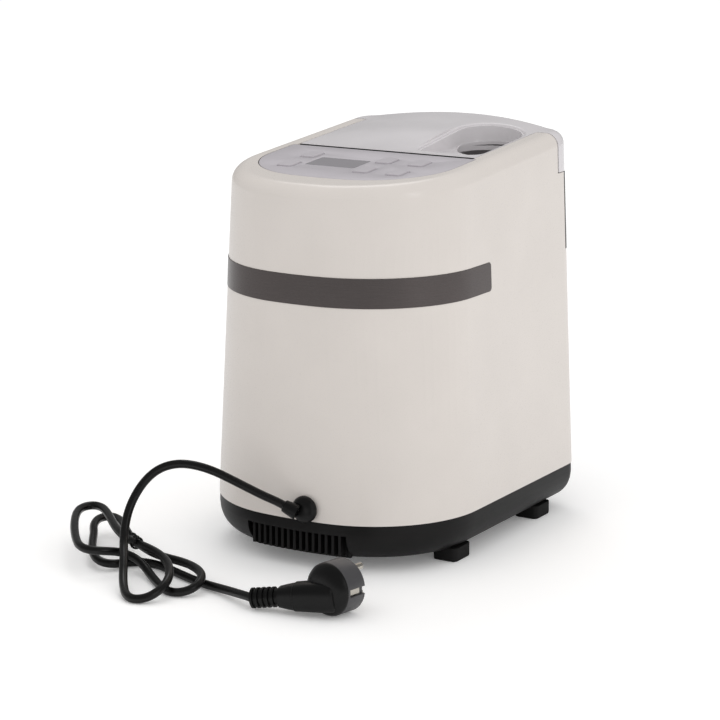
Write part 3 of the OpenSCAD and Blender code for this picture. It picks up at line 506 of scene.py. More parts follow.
class Sheet:
    """Node sheet of one material."""

    def __init__(self, name: str) -> None:
        """Starts a material with an empty sheet."""
        self.material = bpy.data.materials.new(name)
        self.material.use_nodes = True
        self.tree = self.material.node_tree
        self.tree.nodes.clear()

    def node(
        self,
        kind: str,
        settings: dict[str, Any] | None = None,
        inputs: dict[Any, Any] | None = None,
        out: int | str = 0,
    ) -> Wire:
        """Adds a node.

        Args:
            kind: Blender's type of the node.
            settings: Properties that are set first; ``stops`` fills a ramp.
            inputs: Values or wires by socket name or number.
            out: Which output comes back.

        Returns:
            The chosen output.
        """
        made = self.tree.nodes.new(kind)
        for key, value in (settings or {}).items():
            if key == "stops":
                ramp = made.color_ramp
                while len(ramp.elements) < len(value):
                    ramp.elements.new(0.5)
                for stop, (place, colour) in zip(ramp.elements, value):
                    stop.position, stop.color = place, (*colour, 1.0)
            else:
                setattr(made, key, value)
        for key, value in (inputs or {}).items():
            if isinstance(value, Wire):
                self.tree.links.new(value.socket, made.inputs[key])
            else:
                made.inputs[key].default_value = value
        return Wire(self, made.outputs[out]) if made.outputs else Wire(self, made.inputs[0])

    def place(self, scale: Place = (1, 1, 1), turn: Place = (0, 0, 0)) -> Wire:
        """Object coordinates, scaled and turned."""
        spot = self.node("ShaderNodeTexCoord", out="Object")
        return self.node(
            "ShaderNodeMapping", inputs={"Vector": spot, "Scale": scale, "Rotation": turn}
        )

    def noise(self, spot: Wire, scale: float, detail: float = 2.0, rough: float = 0.5) -> Wire:
        """Noise value over a place."""
        return self.node(
            "ShaderNodeTexNoise",
            inputs={"Vector": spot, "Scale": scale, "Detail": detail, "Roughness": rough},
        )

    def blend(self, share: Any, low: Any, high: Any) -> Wire:
        """Mix of two colours by a share."""
        low = (*low, 1.0) if isinstance(low, tuple) else low
        high = (*high, 1.0) if isinstance(high, tuple) else high
        return self.node(
            "ShaderNodeMix", {"data_type": "RGBA"}, {0: share, 6: low, 7: high}, out=2
        )

    def span(
        self, value: Wire, low: float, high: float, start: float = 0.0, stop: float = 1.0
    ) -> Wire:
        """Maps a value between two ends onto another span, held at its ends.

        Args:
            value: The value.
            low: Value that gives the start.
            high: Value that gives the stop.
            start: Result at the low end.
            stop: Result at the high end.

        Returns:
            The mapped value.
        """
        return self.node(
            "ShaderNodeMapRange",
            {"clamp": True},
            {"Value": value, "From Min": low, "From Max": high, "To Min": start, "To Max": stop},
        )

    def bump(self, height: Wire, strength: float, depth: float) -> Wire:
        """Normal from a height."""
        return self.node(
            "ShaderNodeBump", inputs={"Height": height, "Strength": strength, "Distance": depth}
        )

    def finish(self, inputs: dict[str, Any]) -> bpy.types.Material:
        """Ends the sheet in a Principled shader."""
        inputs = {
            key: (*value, 1.0) if isinstance(value, tuple) and len(value) == 3 else value
            for key, value in inputs.items()
        }
        shader = self.node("ShaderNodeBsdfPrincipled", inputs=inputs)
        self.node("ShaderNodeOutputMaterial", inputs={"Surface": shader})
        return self.material


@dataclass(frozen=True)
class Moulded:
    """Moulded plastic with a fine grain and a faint mottle."""

    name: str
    tint: Colour
    rough: float = 0.4
    grain: float = 900.0
    relief: float = 0.06
    mottle: float = 0.03
    shine: float = 0.5
    coat: float = 0.0

    def make(self) -> bpy.types.Material:
        """Makes the material."""
        sheet = Sheet(self.name)
        spot = sheet.place()
        cloud = sheet.noise(spot, 22.0, 3.0)
        fine = sheet.noise(spot, self.grain, 3.0, 0.6)
        dark = tuple(part * (1 - 2 * self.mottle) for part in self.tint)
        light = tuple(min(1.0, part * (1 + 2 * self.mottle)) for part in self.tint)
        return sheet.finish(
            {
                "Base Color": sheet.blend(sheet.span(cloud, 0.3, 0.7), dark, light),
                "Roughness": sheet.span(fine, 0.3, 0.7, self.rough - 0.04, self.rough + 0.04),
                "Specular IOR Level": self.shine,
                "Coat Weight": self.coat,
                "Coat Roughness": 0.08,
                "Normal": sheet.bump(fine, self.relief, 0.0002),
            }
        )


@dataclass(frozen=True)
class Brushed:
    """Metal with fine lines of one direction."""

    name: str
    tint: Colour
    rough: float = 0.3
    lines: Place = (60.0, 60.0, 5000.0)
    contrast: float = 0.12
    relief: float = 0.05

    def make(self) -> bpy.types.Material:
        """Makes the material."""
        sheet = Sheet(self.name)
        line = sheet.noise(sheet.place(self.lines), 1.0, 3.0, 0.6)
        cloud = sheet.noise(sheet.place(), 30.0, 2.0)
        share = sheet.span(line * 0.8 + cloud * 0.2, 0.35, 0.65)
        dark = tuple(part * (1 - self.contrast) for part in self.tint)
        light = tuple(min(1.0, part * (1 + self.contrast)) for part in self.tint)
        return sheet.finish(
            {
                "Base Color": sheet.blend(share, dark, light),
                "Metallic": 1.0,
                "Roughness": sheet.span(line, 0.3, 0.7, self.rough * 0.8, self.rough * 1.25),
                "Normal": sheet.bump(line, self.relief, 0.0001),
            }
        )


@dataclass(frozen=True)
class Smoked:
    """Clear plastic with a smoky tint."""

    name: str
    tint: Colour
    rough: float = 0.12
    clear: float = 0.7

    def make(self) -> bpy.types.Material:
        """Makes the material."""
        sheet = Sheet(self.name)
        fine = sheet.noise(sheet.place(), 300.0, 2.0)
        return sheet.finish(
            {
                "Base Color": self.tint,
                "Roughness": sheet.span(fine, 0.3, 0.7, self.rough, self.rough * 1.5),
                "Transmission Weight": self.clear,
                "IOR": 1.5,
                "Normal": sheet.bump(fine, 0.03, 0.0002),
            }
        )


@dataclass(frozen=True)
class Wound:
    """Lacquered copper wire laid in turns, with painted shade in the grooves between them."""

    name: str
    tint: Colour

    def make(self) -> bpy.types.Material:
        """Makes the material."""
        sheet = Sheet(self.name)
        wave = sheet.node(
            "ShaderNodeTexWave",
            {"wave_type": "BANDS", "bands_direction": "DIAGONAL"},
            {"Vector": sheet.place(), "Scale": 400.0, "Distortion": 2.0},
        )
        # painted shade: where the bands' height is low, between the turns, the colour darkens to
        # half
        dark = tuple(part * 0.5 for part in self.tint)
        height = sheet.node("ShaderNodeRGBToBW", inputs={0: wave})
        return sheet.finish(
            {
                "Base Color": sheet.blend(height, dark, self.tint),
                "Metallic": 0.8,
                "Roughness": sheet.span(height, 0.0, 1.0, 0.5, 0.3),
                "Normal": sheet.bump(height, 0.5, 0.0004),
            }
        )


@dataclass(frozen=True)
class Circuit:
    """Green lacquered board with faint tracks."""

    name: str
    tint: Colour

    def make(self) -> bpy.types.Material:
        """Makes the material."""
        sheet = Sheet(self.name)
        tracks = sheet.node(
            "ShaderNodeTexBrick",
            {"offset": 0.3},
            {
                "Vector": sheet.place(),
                "Scale": 90.0,
                "Mortar Size": 0.05,
                "Color1": (*self.tint, 1),
                "Color2": (*(part * 0.8 for part in self.tint), 1),
                "Mortar": (*(min(1.0, part * 2.2) for part in self.tint), 1),
            },
        )
        height = sheet.node("ShaderNodeRGBToBW", inputs={0: tracks})
        return sheet.finish(
            {
                "Base Color": tracks,
                "Roughness": sheet.span(height, 0.0, 0.4, 0.3, 0.5),
                "Normal": sheet.bump(height, 0.2, 0.0002),
            }
        )


FINISHES: dict[str, Any] = {
    finish.name: finish
    for finish in (
        Moulded("white_gloss", paint(224, 217, 211), 0.3, 1400, 0.03, 0.008, 0.4, 0.15),
        Moulded("lid_grey", paint(220, 216, 218), 0.22, 1400, 0.03, 0.02, 0.45, 0.2),
        Moulded("panel_grey", paint(190, 185, 190), 0.42, 1600, 0.08, 0.02, 0.4),
        Moulded("dark_gloss", paint(38, 35, 37), 0.2, 1200, 0.02, 0.05, 0.4, 0.3),
        Brushed("brushed_metal", paint(98, 92, 91), 0.28),
        Moulded("base_black", paint(20, 19, 19), 0.42, 1500, 0.12, 0.08, 0.22),
        Moulded("foot_rubber", paint(24, 23, 23), 0.75, 1500, 0.2, 0.1, 0.25),
        Moulded("liner_grey", paint(205, 202, 199), 0.5, 1200, 0.1, 0.02),
        Moulded("window_grey", paint(150, 146, 151), 0.12, 500, 0.01, 0.02, 0.5, 0.5),
        Circuit("board_green", paint(28, 84, 48)),
        Moulded("case_grey", paint(92, 92, 95), 0.5, 900, 0.15, 0.05),
        Brushed("core_steel", paint(120, 117, 114), 0.5, (60, 3000, 60), 0.25, 0.2),
        Wound("coil_copper", paint(196, 110, 62)),
        Brushed("bracket_aluminium", paint(168, 168, 170), 0.45, (900, 60, 900)),
        Brushed("shaft_steel", paint(180, 180, 182), 0.25, (3000, 60, 3000), 0.06),
        Brushed("pin_steel", paint(205, 200, 190), 0.22, (2500, 80, 2500), 0.06),
        Moulded("cord_black", paint(11, 10, 10), 0.3, 1200, 0.1, 0.1, 0.4),
        Moulded("tie_black", paint(22, 21, 21), 0.4, 2500, 0.1, 0.1, 0.3),
        Moulded("plug_black", paint(11, 11, 11), 0.34, 1500, 0.1, 0.08, 0.3),
        Moulded("seal_grey", paint(82, 82, 84), 0.7, 1500, 0.15, 0.05, 0.3),
        Moulded("strainer_grey", paint(96, 93, 94), 0.35, 1200, 0.05, 0.05, 0.4),
        Smoked("bowl_smoke", paint(170, 178, 184)),
        Moulded("nose_grey", paint(70, 69, 71), 0.35, 1200, 0.06, 0.05),
        Moulded("tool_white", paint(226, 223, 216), 0.38, 1200, 0.06, 0.02),
        Moulded("gear_nylon", paint(226, 222, 204), 0.45, 1500, 0.08, 0.03),
        Brushed("pinion_brass", paint(196, 168, 96), 0.3, (2500, 80, 2500), 0.08),
        Moulded("fan_black", paint(34, 34, 36), 0.5, 1200, 0.1, 0.06, 0.3),
    )
}


class Finisher:
    """Makes each finish once and dresses pieces and solids in it."""

    def __init__(self) -> None:
        """Starts with no finish made."""
        self.made: dict[str, bpy.types.Material] = {}

    def material(self, slot: str) -> bpy.types.Material:
        """Material of a slot, made when it is first asked for."""
        if slot not in self.made:
            self.made[slot] = FINISHES[slot].make()
        return self.made[slot]

    def dress(self, piece: Piece, slot: str, body: str, nodes: Sequence[str] = ()) -> Piece:
        """Gives a new piece its finish and its body.

        Args:
            piece: The piece.
            slot: Name of the finish.
            body: Body that it rides on.
            nodes: Solids that it stands for.

        Returns:
            The piece.
        """
        piece.data.materials.clear()
        piece.data.materials.append(self.material(slot))
        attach(piece, body)
        if nodes:
            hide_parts(*nodes)
        LOG.info("%s rides on %s in %s", piece.name, body, slot)
        return piece

    def paint_solids(self) -> None:
        """Gives every solid that still shows the finish of its slot."""
        for name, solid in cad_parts.items():
            slot = SOLID_SLOTS[name]
            solid.data.materials.clear()
            solid.data.materials.append(self.material(slot))


SLOTS: dict[str, str] = {
    "base_black": "base_tray",
    "foot_rubber": "rubber_feet",
    "white_gloss": "outer_shell die_ring",
    "brushed_metal": "trim_band",
    "liner_grey": "bay_liner",
    "panel_grey": "control_panel key_1 key_2 key_3 key_4 key_5 key_6",
    "window_grey": "display_window",
    "board_green": "key_board power_board",
    "case_grey": "gear_case_front gear_case_rear",
    "core_steel": "motor_stator rotor_core",
    "coil_copper": "motor_coils",
    "bracket_aluminium": "motor_frame motor_end_plate",
    "shaft_steel": "hinge_pins output_shaft idler_shaft idler_pinion motor_shaft",
    "plug_black": "cord_gland plug_body",
    "cord_black": "cord_lead cord_hank cord_tail",
    "tie_black": "twist_tie",
    "pin_steel": "plug_pins plug_earth_clips",
    "lid_grey": "lid_shell pour_tray",
    "seal_grey": "lid_seal",
    "strainer_grey": "funnel_strainer",
    "bowl_smoke": "mixing_bowl",
    "nose_grey": "extruder_nose",
    "dark_gloss": "front_panel",
    "tool_white": "extruder_screw kneading_paddle pasta_die",
    "gear_nylon": "output_gear idler_gear",
    "pinion_brass": "motor_pinion",
    "fan_black": "cooling_fan",
}

SOLID_SLOTS: dict[str, str] = {
    node: slot for slot, nodes in SLOTS.items() for node in nodes.split()
}


# ---- Studio ----


@dataclass
class Studio:
    """Camera, floor, lamps and sky."""

    eye: Place = (-965.0, 1669.0, 563.9)
    look: Place = (18.5, 12.9, 128.6)
    lens: float = 129.16
    floor_size: float = 14.0
    floor_glow: float = 0.12
    floor_near: float = 1.0
    floor_far: float = 0.78
    sky_level: float = 0.91
    gloss_level: float = 0.25
    lamps: tuple[tuple[str, Place, Flat, float], ...] = (
        ("side_strip", (-2.2, 0.6, 1.1), (0.35, 1.4), 4.0),
        ("front_key", (0.9, -1.3, 2.2), (1.0, 1.0), 6.0),
    )

    def camera(self) -> None:
        """Places the camera at the photograph's angle."""
        data = bpy.data.cameras.new("view")
        data.lens, data.sensor_width, data.clip_end = self.lens, 36.0, 50.0
        camera = bpy.data.objects.new("view", data)
        bpy.context.scene.collection.objects.link(camera)
        camera.location = at(self.eye)
        camera.rotation_euler = (at(self.look) - at(self.eye)).to_track_quat("-Z", "Y").to_euler()
        bpy.context.scene.camera = camera

    def floor(self) -> None:
        """Lays the floor: white where it is seen, shaded where it only lights."""
        Bench.clear()
        bpy.ops.mesh.primitive_plane_add(size=self.floor_size)
        floor = Bench.named("floor")
        sheet = Sheet("floor_white")
        spot = sheet.place()
        x, y = (sheet.node("ShaderNodeSeparateXYZ", inputs={"Vector": spot}, out=k) for k in "XY")
        side = sheet.span(x * -0.64 + y * -0.77, -0.7, 0.8)
        seen = sheet.node("ShaderNodeLightPath")
        shade = sheet.blend(side, (self.floor_far,) * 3, (self.floor_near,) * 3)
        floor.data.materials.append(
            sheet.finish(
                {
                    "Base Color": sheet.blend(seen, shade, (1.0, 0.995, 0.99)),
                    "Roughness": 0.9,
                    "Specular IOR Level": 0.0,
                    "Emission Color": sheet.blend(seen, (0.0, 0.0, 0.0), (self.floor_glow,) * 3),
                    "Emission Strength": 1.0,
                }
            )
        )

    def sky(self) -> None:
        """Lights the room and shows white behind the floor."""
        world = bpy.data.worlds.new("room")
        world.use_nodes = True
        tree = world.node_tree
        tree.nodes.clear()
        path = tree.nodes.new("ShaderNodeLightPath")
        levels = (("Is Glossy Ray", self.gloss_level), ("Is Camera Ray", 1.0),
                  ("Is Transmission Ray", 1.0))
        level: Any = self.sky_level
        for ray, value in levels:
            pick = tree.nodes.new("ShaderNodeMix")
            if isinstance(level, float):
                pick.inputs[2].default_value = level
            else:
                tree.links.new(level, pick.inputs[2])
            pick.inputs[3].default_value = value
            tree.links.new(path.outputs[ray], pick.inputs[0])
            level = pick.outputs[0]
        glow = tree.nodes.new("ShaderNodeBackground")
        glow.inputs["Color"].default_value = (1.0, 1.0, 1.0, 1.0)
        tree.links.new(level, glow.inputs["Strength"])
        out = tree.nodes.new("ShaderNodeOutputWorld")
        tree.links.new(glow.outputs[0], out.inputs["Surface"])
        bpy.context.scene.world = world

    def lamp(self, name: str, spot: Place, size: Flat, watts: float) -> None:
        """Hangs a soft lamp that faces the machine.

        Args:
            name: Name of the lamp.
            spot: Its place in metres.
            size: Width and height in metres.
            watts: Power.
        """
        data = bpy.data.lights.new(name, "AREA")
        data.shape, data.size, data.size_y, data.energy = "RECTANGLE", size[0], size[1], watts
        lamp = bpy.data.objects.new(name, data)
        bpy.context.scene.collection.objects.link(lamp)
        lamp.location = spot
        aim = Vector((0.0, 0.0, 0.15)) - Vector(spot)
        lamp.rotation_euler = aim.to_track_quat("-Z", "Y").to_euler()

    def build(self) -> None:
        """Sets up everything but the camera."""
        self.floor()
        self.sky()
        for name, spot, size, watts in self.lamps:
            self.lamp(name, spot, size, watts)
        bpy.context.scene.view_settings.view_transform = "Standard"


# ---- Cord set ----


@dataclass
class CordSet:
    """Mains cord tied in a bundle, with its gland, tie and plug."""

    finisher: Finisher
    diameter: float = 6.3
    length: float = 0.0
    lead: list[Place] = field(
        default_factory=lambda: [
            (-2, 152, 49.5), (5, 154, 53), (14, 156, 56), (24, 159, 60.5), (37, 163, 66.5),
            (49, 167, 72), (61, 171, 75.5), (73, 176, 77), (85, 181, 74), (94, 186, 67),
            (100, 192, 57), (102, 200, 46), (101, 207, 35.5),
        ]
    )
    hank: list[Place] = field(
        default_factory=lambda: [
            (98, 214, 24), (87, 229, 17), (78, 243, 9), (67, 257, 4.6), (58, 265.5, 3.3),
            (48.5, 267.5, 3.2), (41, 260, 5), (38, 247, 10.5), (45, 232, 14),
            (58, 217, 16.5), (75, 206, 17.5), (90, 200, 18), (102, 197, 19), (113, 193, 20),
            (128, 182, 21.5), (143, 168, 23), (157, 155, 24), (167, 148.5, 24),
            (174.5, 148.5, 23.9), (178, 155, 23.6), (176, 164.5, 23.3), (169, 177, 22.9),
            (159.5, 191, 22.4), (148, 206, 21), (136, 219.5, 19.8), (127.5, 227, 19.3),
            (119, 230, 18.9), (111.5, 227.5, 18.4), (106.5, 220.5, 17), (102, 213, 15),
            (95.5, 208.5, 12), (87, 208.8, 8.8), (78, 213.5, 5.6), (68, 221, 3.6),
            (50, 235.5, 3.2), (40, 241, 3.2), (30.5, 240, 3.6), (24, 232.5, 6),
            (24.5, 222.5, 9.4), (32, 212.5, 11), (46, 203, 11), (61, 197, 10.5),
            (75, 195, 10.5), (90, 191, 11), (104, 183, 11.5), (121, 172, 12),
            (139, 155, 12.5), (151, 143, 12.9), (160.5, 136.5, 13), (168, 136, 13),
            (171.8, 142, 12.8), (169.5, 151.5, 12.5), (163, 163, 12), (155, 173, 11.5),
            (142, 193, 10), (131, 207, 8.4), (123.5, 213.5, 7.2), (116, 216, 5.9),
            (109.5, 212, 4.6), (106.8, 204, 3.6),
        ]
    )
    tail: list[Place] = field(
        default_factory=lambda: [
            (102.5, 197, 3.2), (95, 193.2, 3.2), (85, 193, 3.2), (75, 195.5, 3.2),
            (57, 203, 3.2), (37, 211, 3.2), (22, 216, 3.6), (2, 223, 5.2), (-14, 231, 7.2),
            (-20.5, 233.6, 7.8), (-27, 236, 8),
        ]
    )
    plug_start: Place = (-27, 236, 8)
    grip_start: Place = (-46.9, 231.3, 11)
    grip_end: Place = (-78, 223.6, 14.4)
    plug_face: Place = (-83.7, 204.6, 19)
    evening: int = 10
    tie_middle: Place = (100, 203, 16.5)
    tie_turn: float = math.radians(-28)
    tie_wire: float = 1.6
    tie_reach: float = 16.0
    tie_steps: int = 96
    twist_pitch: float = 0.9
    twist_radius: float = 1.1
    plug_dir: float = 258.5
    notch_reach: Flat = (15.4, 25.0)
    notch_half: float = 2.75

    def ring(
        self, middle: Vector, along: Vector, radius: float, sides: int = 32, flat: float = 1.0,
        round_to: float = 1.0,
    ) -> list[Place]:
        """Ring of places about a direction.

        Args:
            middle: Middle of the ring.
            along: Direction through it.
            radius: Its radius.
            sides: Number of places.
            flat: Height as a share of its width.
            round_to: Power that squares the ring where it is below one.

        Returns:
            The places.
        """
        side = along.cross(Vector((0, 0, 1))).normalized()
        up = side.cross(along).normalized()
        turns = [2 * math.pi * k / sides for k in range(sides)]
        places: list[Place] = []
        for turn in turns:
            u, v = math.cos(turn), math.sin(turn)
            u, v = math.copysign(abs(u) ** round_to, u), math.copysign(abs(v) ** round_to, v)
            places.append(tuple(middle + radius * (u * side + flat * v * up)))
        return places

    def turned(
        self, name: str, start: Place, along: Place, profile: Sequence[Flat], sides: int = 48
    ) -> Piece:
        """Round piece from a profile of radius and distance.

        Args:
            name: Name of the piece.
            start: Where the distance is nought.
            along: Direction of the distance.
            profile: Radius and distance, in order.
            sides: Number of sides.

        Returns:
            The piece.
        """
        way = Vector(along).normalized()
        rings = [self.ring(Vector(start) + way * s, way, r, sides) for r, s in profile]
        return Bench.smooth(Bench.skin(name, rings))

    def line(self) -> list[Vector]:
        """Line of the cord, evened out between its fixed ends."""
        line = smooth_route([*self.lead, *self.hank, *self.tail], 6)
        for _ in range(self.evening):
            inner = zip(line, line[1:], line[2:])
            line = [line[0], *((a + 2 * b + c) / 4 for a, b, c in inner), line[-1]]
        return line

    def tube(self, name: str, line: Sequence[Any], diameter: float) -> Piece:
        """Round tube along a line.

        Args:
            name: Name of the piece.
            line: Places along its middle.
            diameter: Its diameter in millimetres.

        Returns:
            The piece.
        """
        curve = bpy.data.curves.new(name, "CURVE")
        curve.dimensions = "3D"
        curve.bevel_depth = diameter / 2000
        curve.bevel_resolution = 5
        curve.use_fill_caps = True
        spline = curve.splines.new("POLY")
        spline.points.add(len(line) - 1)
        for point, place in zip(spline.points, line):
            point.co = (*at(place), 1.0)
        spline.use_smooth = True
        piece = bpy.data.objects.new(name, curve)
        bpy.context.scene.collection.objects.link(piece)
        return piece

    def cord(self) -> Piece:
        """Lays the cord on its one smooth line."""
        line = self.line()
        piece = self.tube("mains_cord", line, self.diameter)
        self.length = sum((b - a).length for a, b in zip(line, line[1:])) / 1000
        return self.finisher.dress(
            piece, "cord_black", "housing", ["cord_lead", "cord_hank", "cord_tail"]
        )

    def gland(self) -> Piece:
        """Models the round gland with its short tapered sleeve."""
        x, z = GLAND
        profile = [(6.9, -8.0), (6.9, 0.3), (9.2, 0.35), (10, 1.2), (10, 3.2), (9.3, 4.6),
                   (8.0, 6.4), (6.0, 7.5), (3.0, 7.9)]
        piece = self.turned("gland_cap", (x, BODY.back, z), (0, 1, 0), profile)
        way = Vector(self.lead[0]) - Vector(self.lead[1])
        sleeve = self.turned(
            "gland_sleeve", self.lead[0], way, [(3.6, -2.0), (4.4, -1.4), (5.0, 2), (5.6, 9)], 32
        )
        self.finisher.dress(sleeve, "plug_black", "housing", ["cord_gland"])
        return self.finisher.dress(piece, "plug_black", "housing", ["cord_gland"])

    def tie(self) -> list[Piece]:
        """Winds the wire tie close round the bundle and twists its ends."""
        middle = Vector(self.tie_middle)
        normal = Vector((math.cos(self.tie_turn), math.sin(self.tie_turn), 0))
        side = Vector((-normal.y, normal.x, 0))
        spots: list[Flat] = []
        line = self.line()
        for a, b in zip(line, line[1:]):
            before, after = (a - middle).dot(normal), (b - middle).dot(normal)
            if before * after > 0 or before == after:
                continue
            spot = a.lerp(b, before / (before - after)) - middle
            if spot.length < self.tie_reach:
                spots.append((spot.dot(side), spot.z))
        loose = (self.diameter + self.tie_wire) / 2 + 0.2
        wrap: list[Vector] = []
        for k in range(self.tie_steps + 1):
            turn = 2 * math.pi * k / self.tie_steps
            u, v = math.cos(turn), math.sin(turn)
            far = max(spots, key=lambda spot: spot[0] * u + spot[1] * v)
            wrap.append(
                middle + normal * (k / self.tie_steps - 0.5) * 3 * self.tie_wire
                + side * (far[0] + loose * u) + Vector((0, 0, far[1] + loose * v))
            )
        start = max(wrap, key=lambda place: place.z)
        ends: list[Piece] = [self.tube("tie_wire", wrap, self.tie_wire)]
        for k, lean in enumerate(((0.25, 0.75, 0.62), (-0.35, 0.85, 0.38))):
            way = Vector(lean).normalized()
            across = way.cross(normal).normalized()
            twist: list[Place] = []
            for step in range(14 - 2 * k):
                far = step * self.twist_pitch
                turn = far + k * math.pi
                swing = across * math.sin(turn) + normal * math.cos(turn)
                twist.append(tuple(start + way * far + swing * self.twist_radius))
            smooth = smooth_route(twist, 3)
            ends.append(self.tube(f"tie_end_{k + 1}", smooth, self.tie_wire))
        for piece in ends:
            self.finisher.dress(piece, "tie_black", "housing", ["twist_tie"])
        return ends

    def plug(self) -> list[Piece]:
        """Models the plug: ribbed relief, grip, dome and notched front."""
        way = Vector(self.grip_start) - Vector(self.plug_start)
        ribs: list[Flat] = [(3.6, -1.0), (5.6, -0.6)]
        for k in range(5):
            s = k * 3.9
            ribs += [(5.9, s), (7.3, s + 0.35), (7.3, s + 1.9), (5.9, s + 2.25)]
        ribs += [(5.9, way.length + 2)]
        relief = self.turned("plug_relief", self.plug_start, way, ribs, 32)
        along = Vector(self.grip_end) - Vector(self.grip_start)
        unit = along.normalized()
        shape = [(0, 5.5), (0.3, 7.6), (3, 8.2), (8, 9.2), (11.5, 9.8), (12, 10.4), (22, 11),
                 (along.length, 11.6), (along.length + 7.4, 11.5), (along.length + 8.6, 11),
                 (along.length + 9.4, 10), (along.length + 9.7, 8.8), (along.length + 9.8, 4.5)]
        rings = [
            self.ring(Vector(self.grip_start) + unit * s, unit, r, 48, 0.95, 0.72)
            for s, r in shape
        ]
        grip = Bench.smooth(Bench.skin("plug_grip", rings))
        turn = math.radians(self.plug_dir)
        out = (math.cos(turn), math.sin(turn), 0)
        dome = [(1, -25.5), (8, -25), (12, -24.2), (15, -22.8), (17, -21), (18.2, -19),
                (18.7, -17.8), (18.7, -17), (1, -17)]
        drum = [(1, -17.4), (18.4, -17.4), (18.9, -17), (18.9, -1), (18.6, -0.3), (17.9, 0), (1, 0)]
        pieces = [relief, grip, self.turned("plug_dome", self.plug_face, out, dome, 64)]
        front = self.turned("plug_front", self.plug_face, out, drum, 64)
        face, side = Vector(self.plug_face), Vector((-out[1], out[0], 0))
        for hand in (-1, 1):
            (low, high), half = self.notch_reach, self.notch_half
            corners = ((low, -half), (high, -half), (high, half), (low, half))
            rings = [
                [
                    tuple(face + Vector(out) * s + hand * side * across + Vector((0, 0, up)))
                    for across, up in corners
                ]
                for s in (-15.5, 1)
            ]
            Bench.cut(front, Bench.skin("notch", rings))
        Bench.smooth(front)
        for piece in pieces:
            self.finisher.dress(piece, "plug_black", "housing", ["plug_body"])
        self.finisher.dress(front, "nose_grey", "housing", ["plug_body"])
        return [*pieces, front]

    def build(self) -> None:
        cord = self.cord()
        self.gland()
        tie = self.tie()
        plug = self.plug()
        at(self.lead[0])
        self.diameter / 1000
        LOG.info("cord length %.4f m", self.length)


# ---- Housing ----


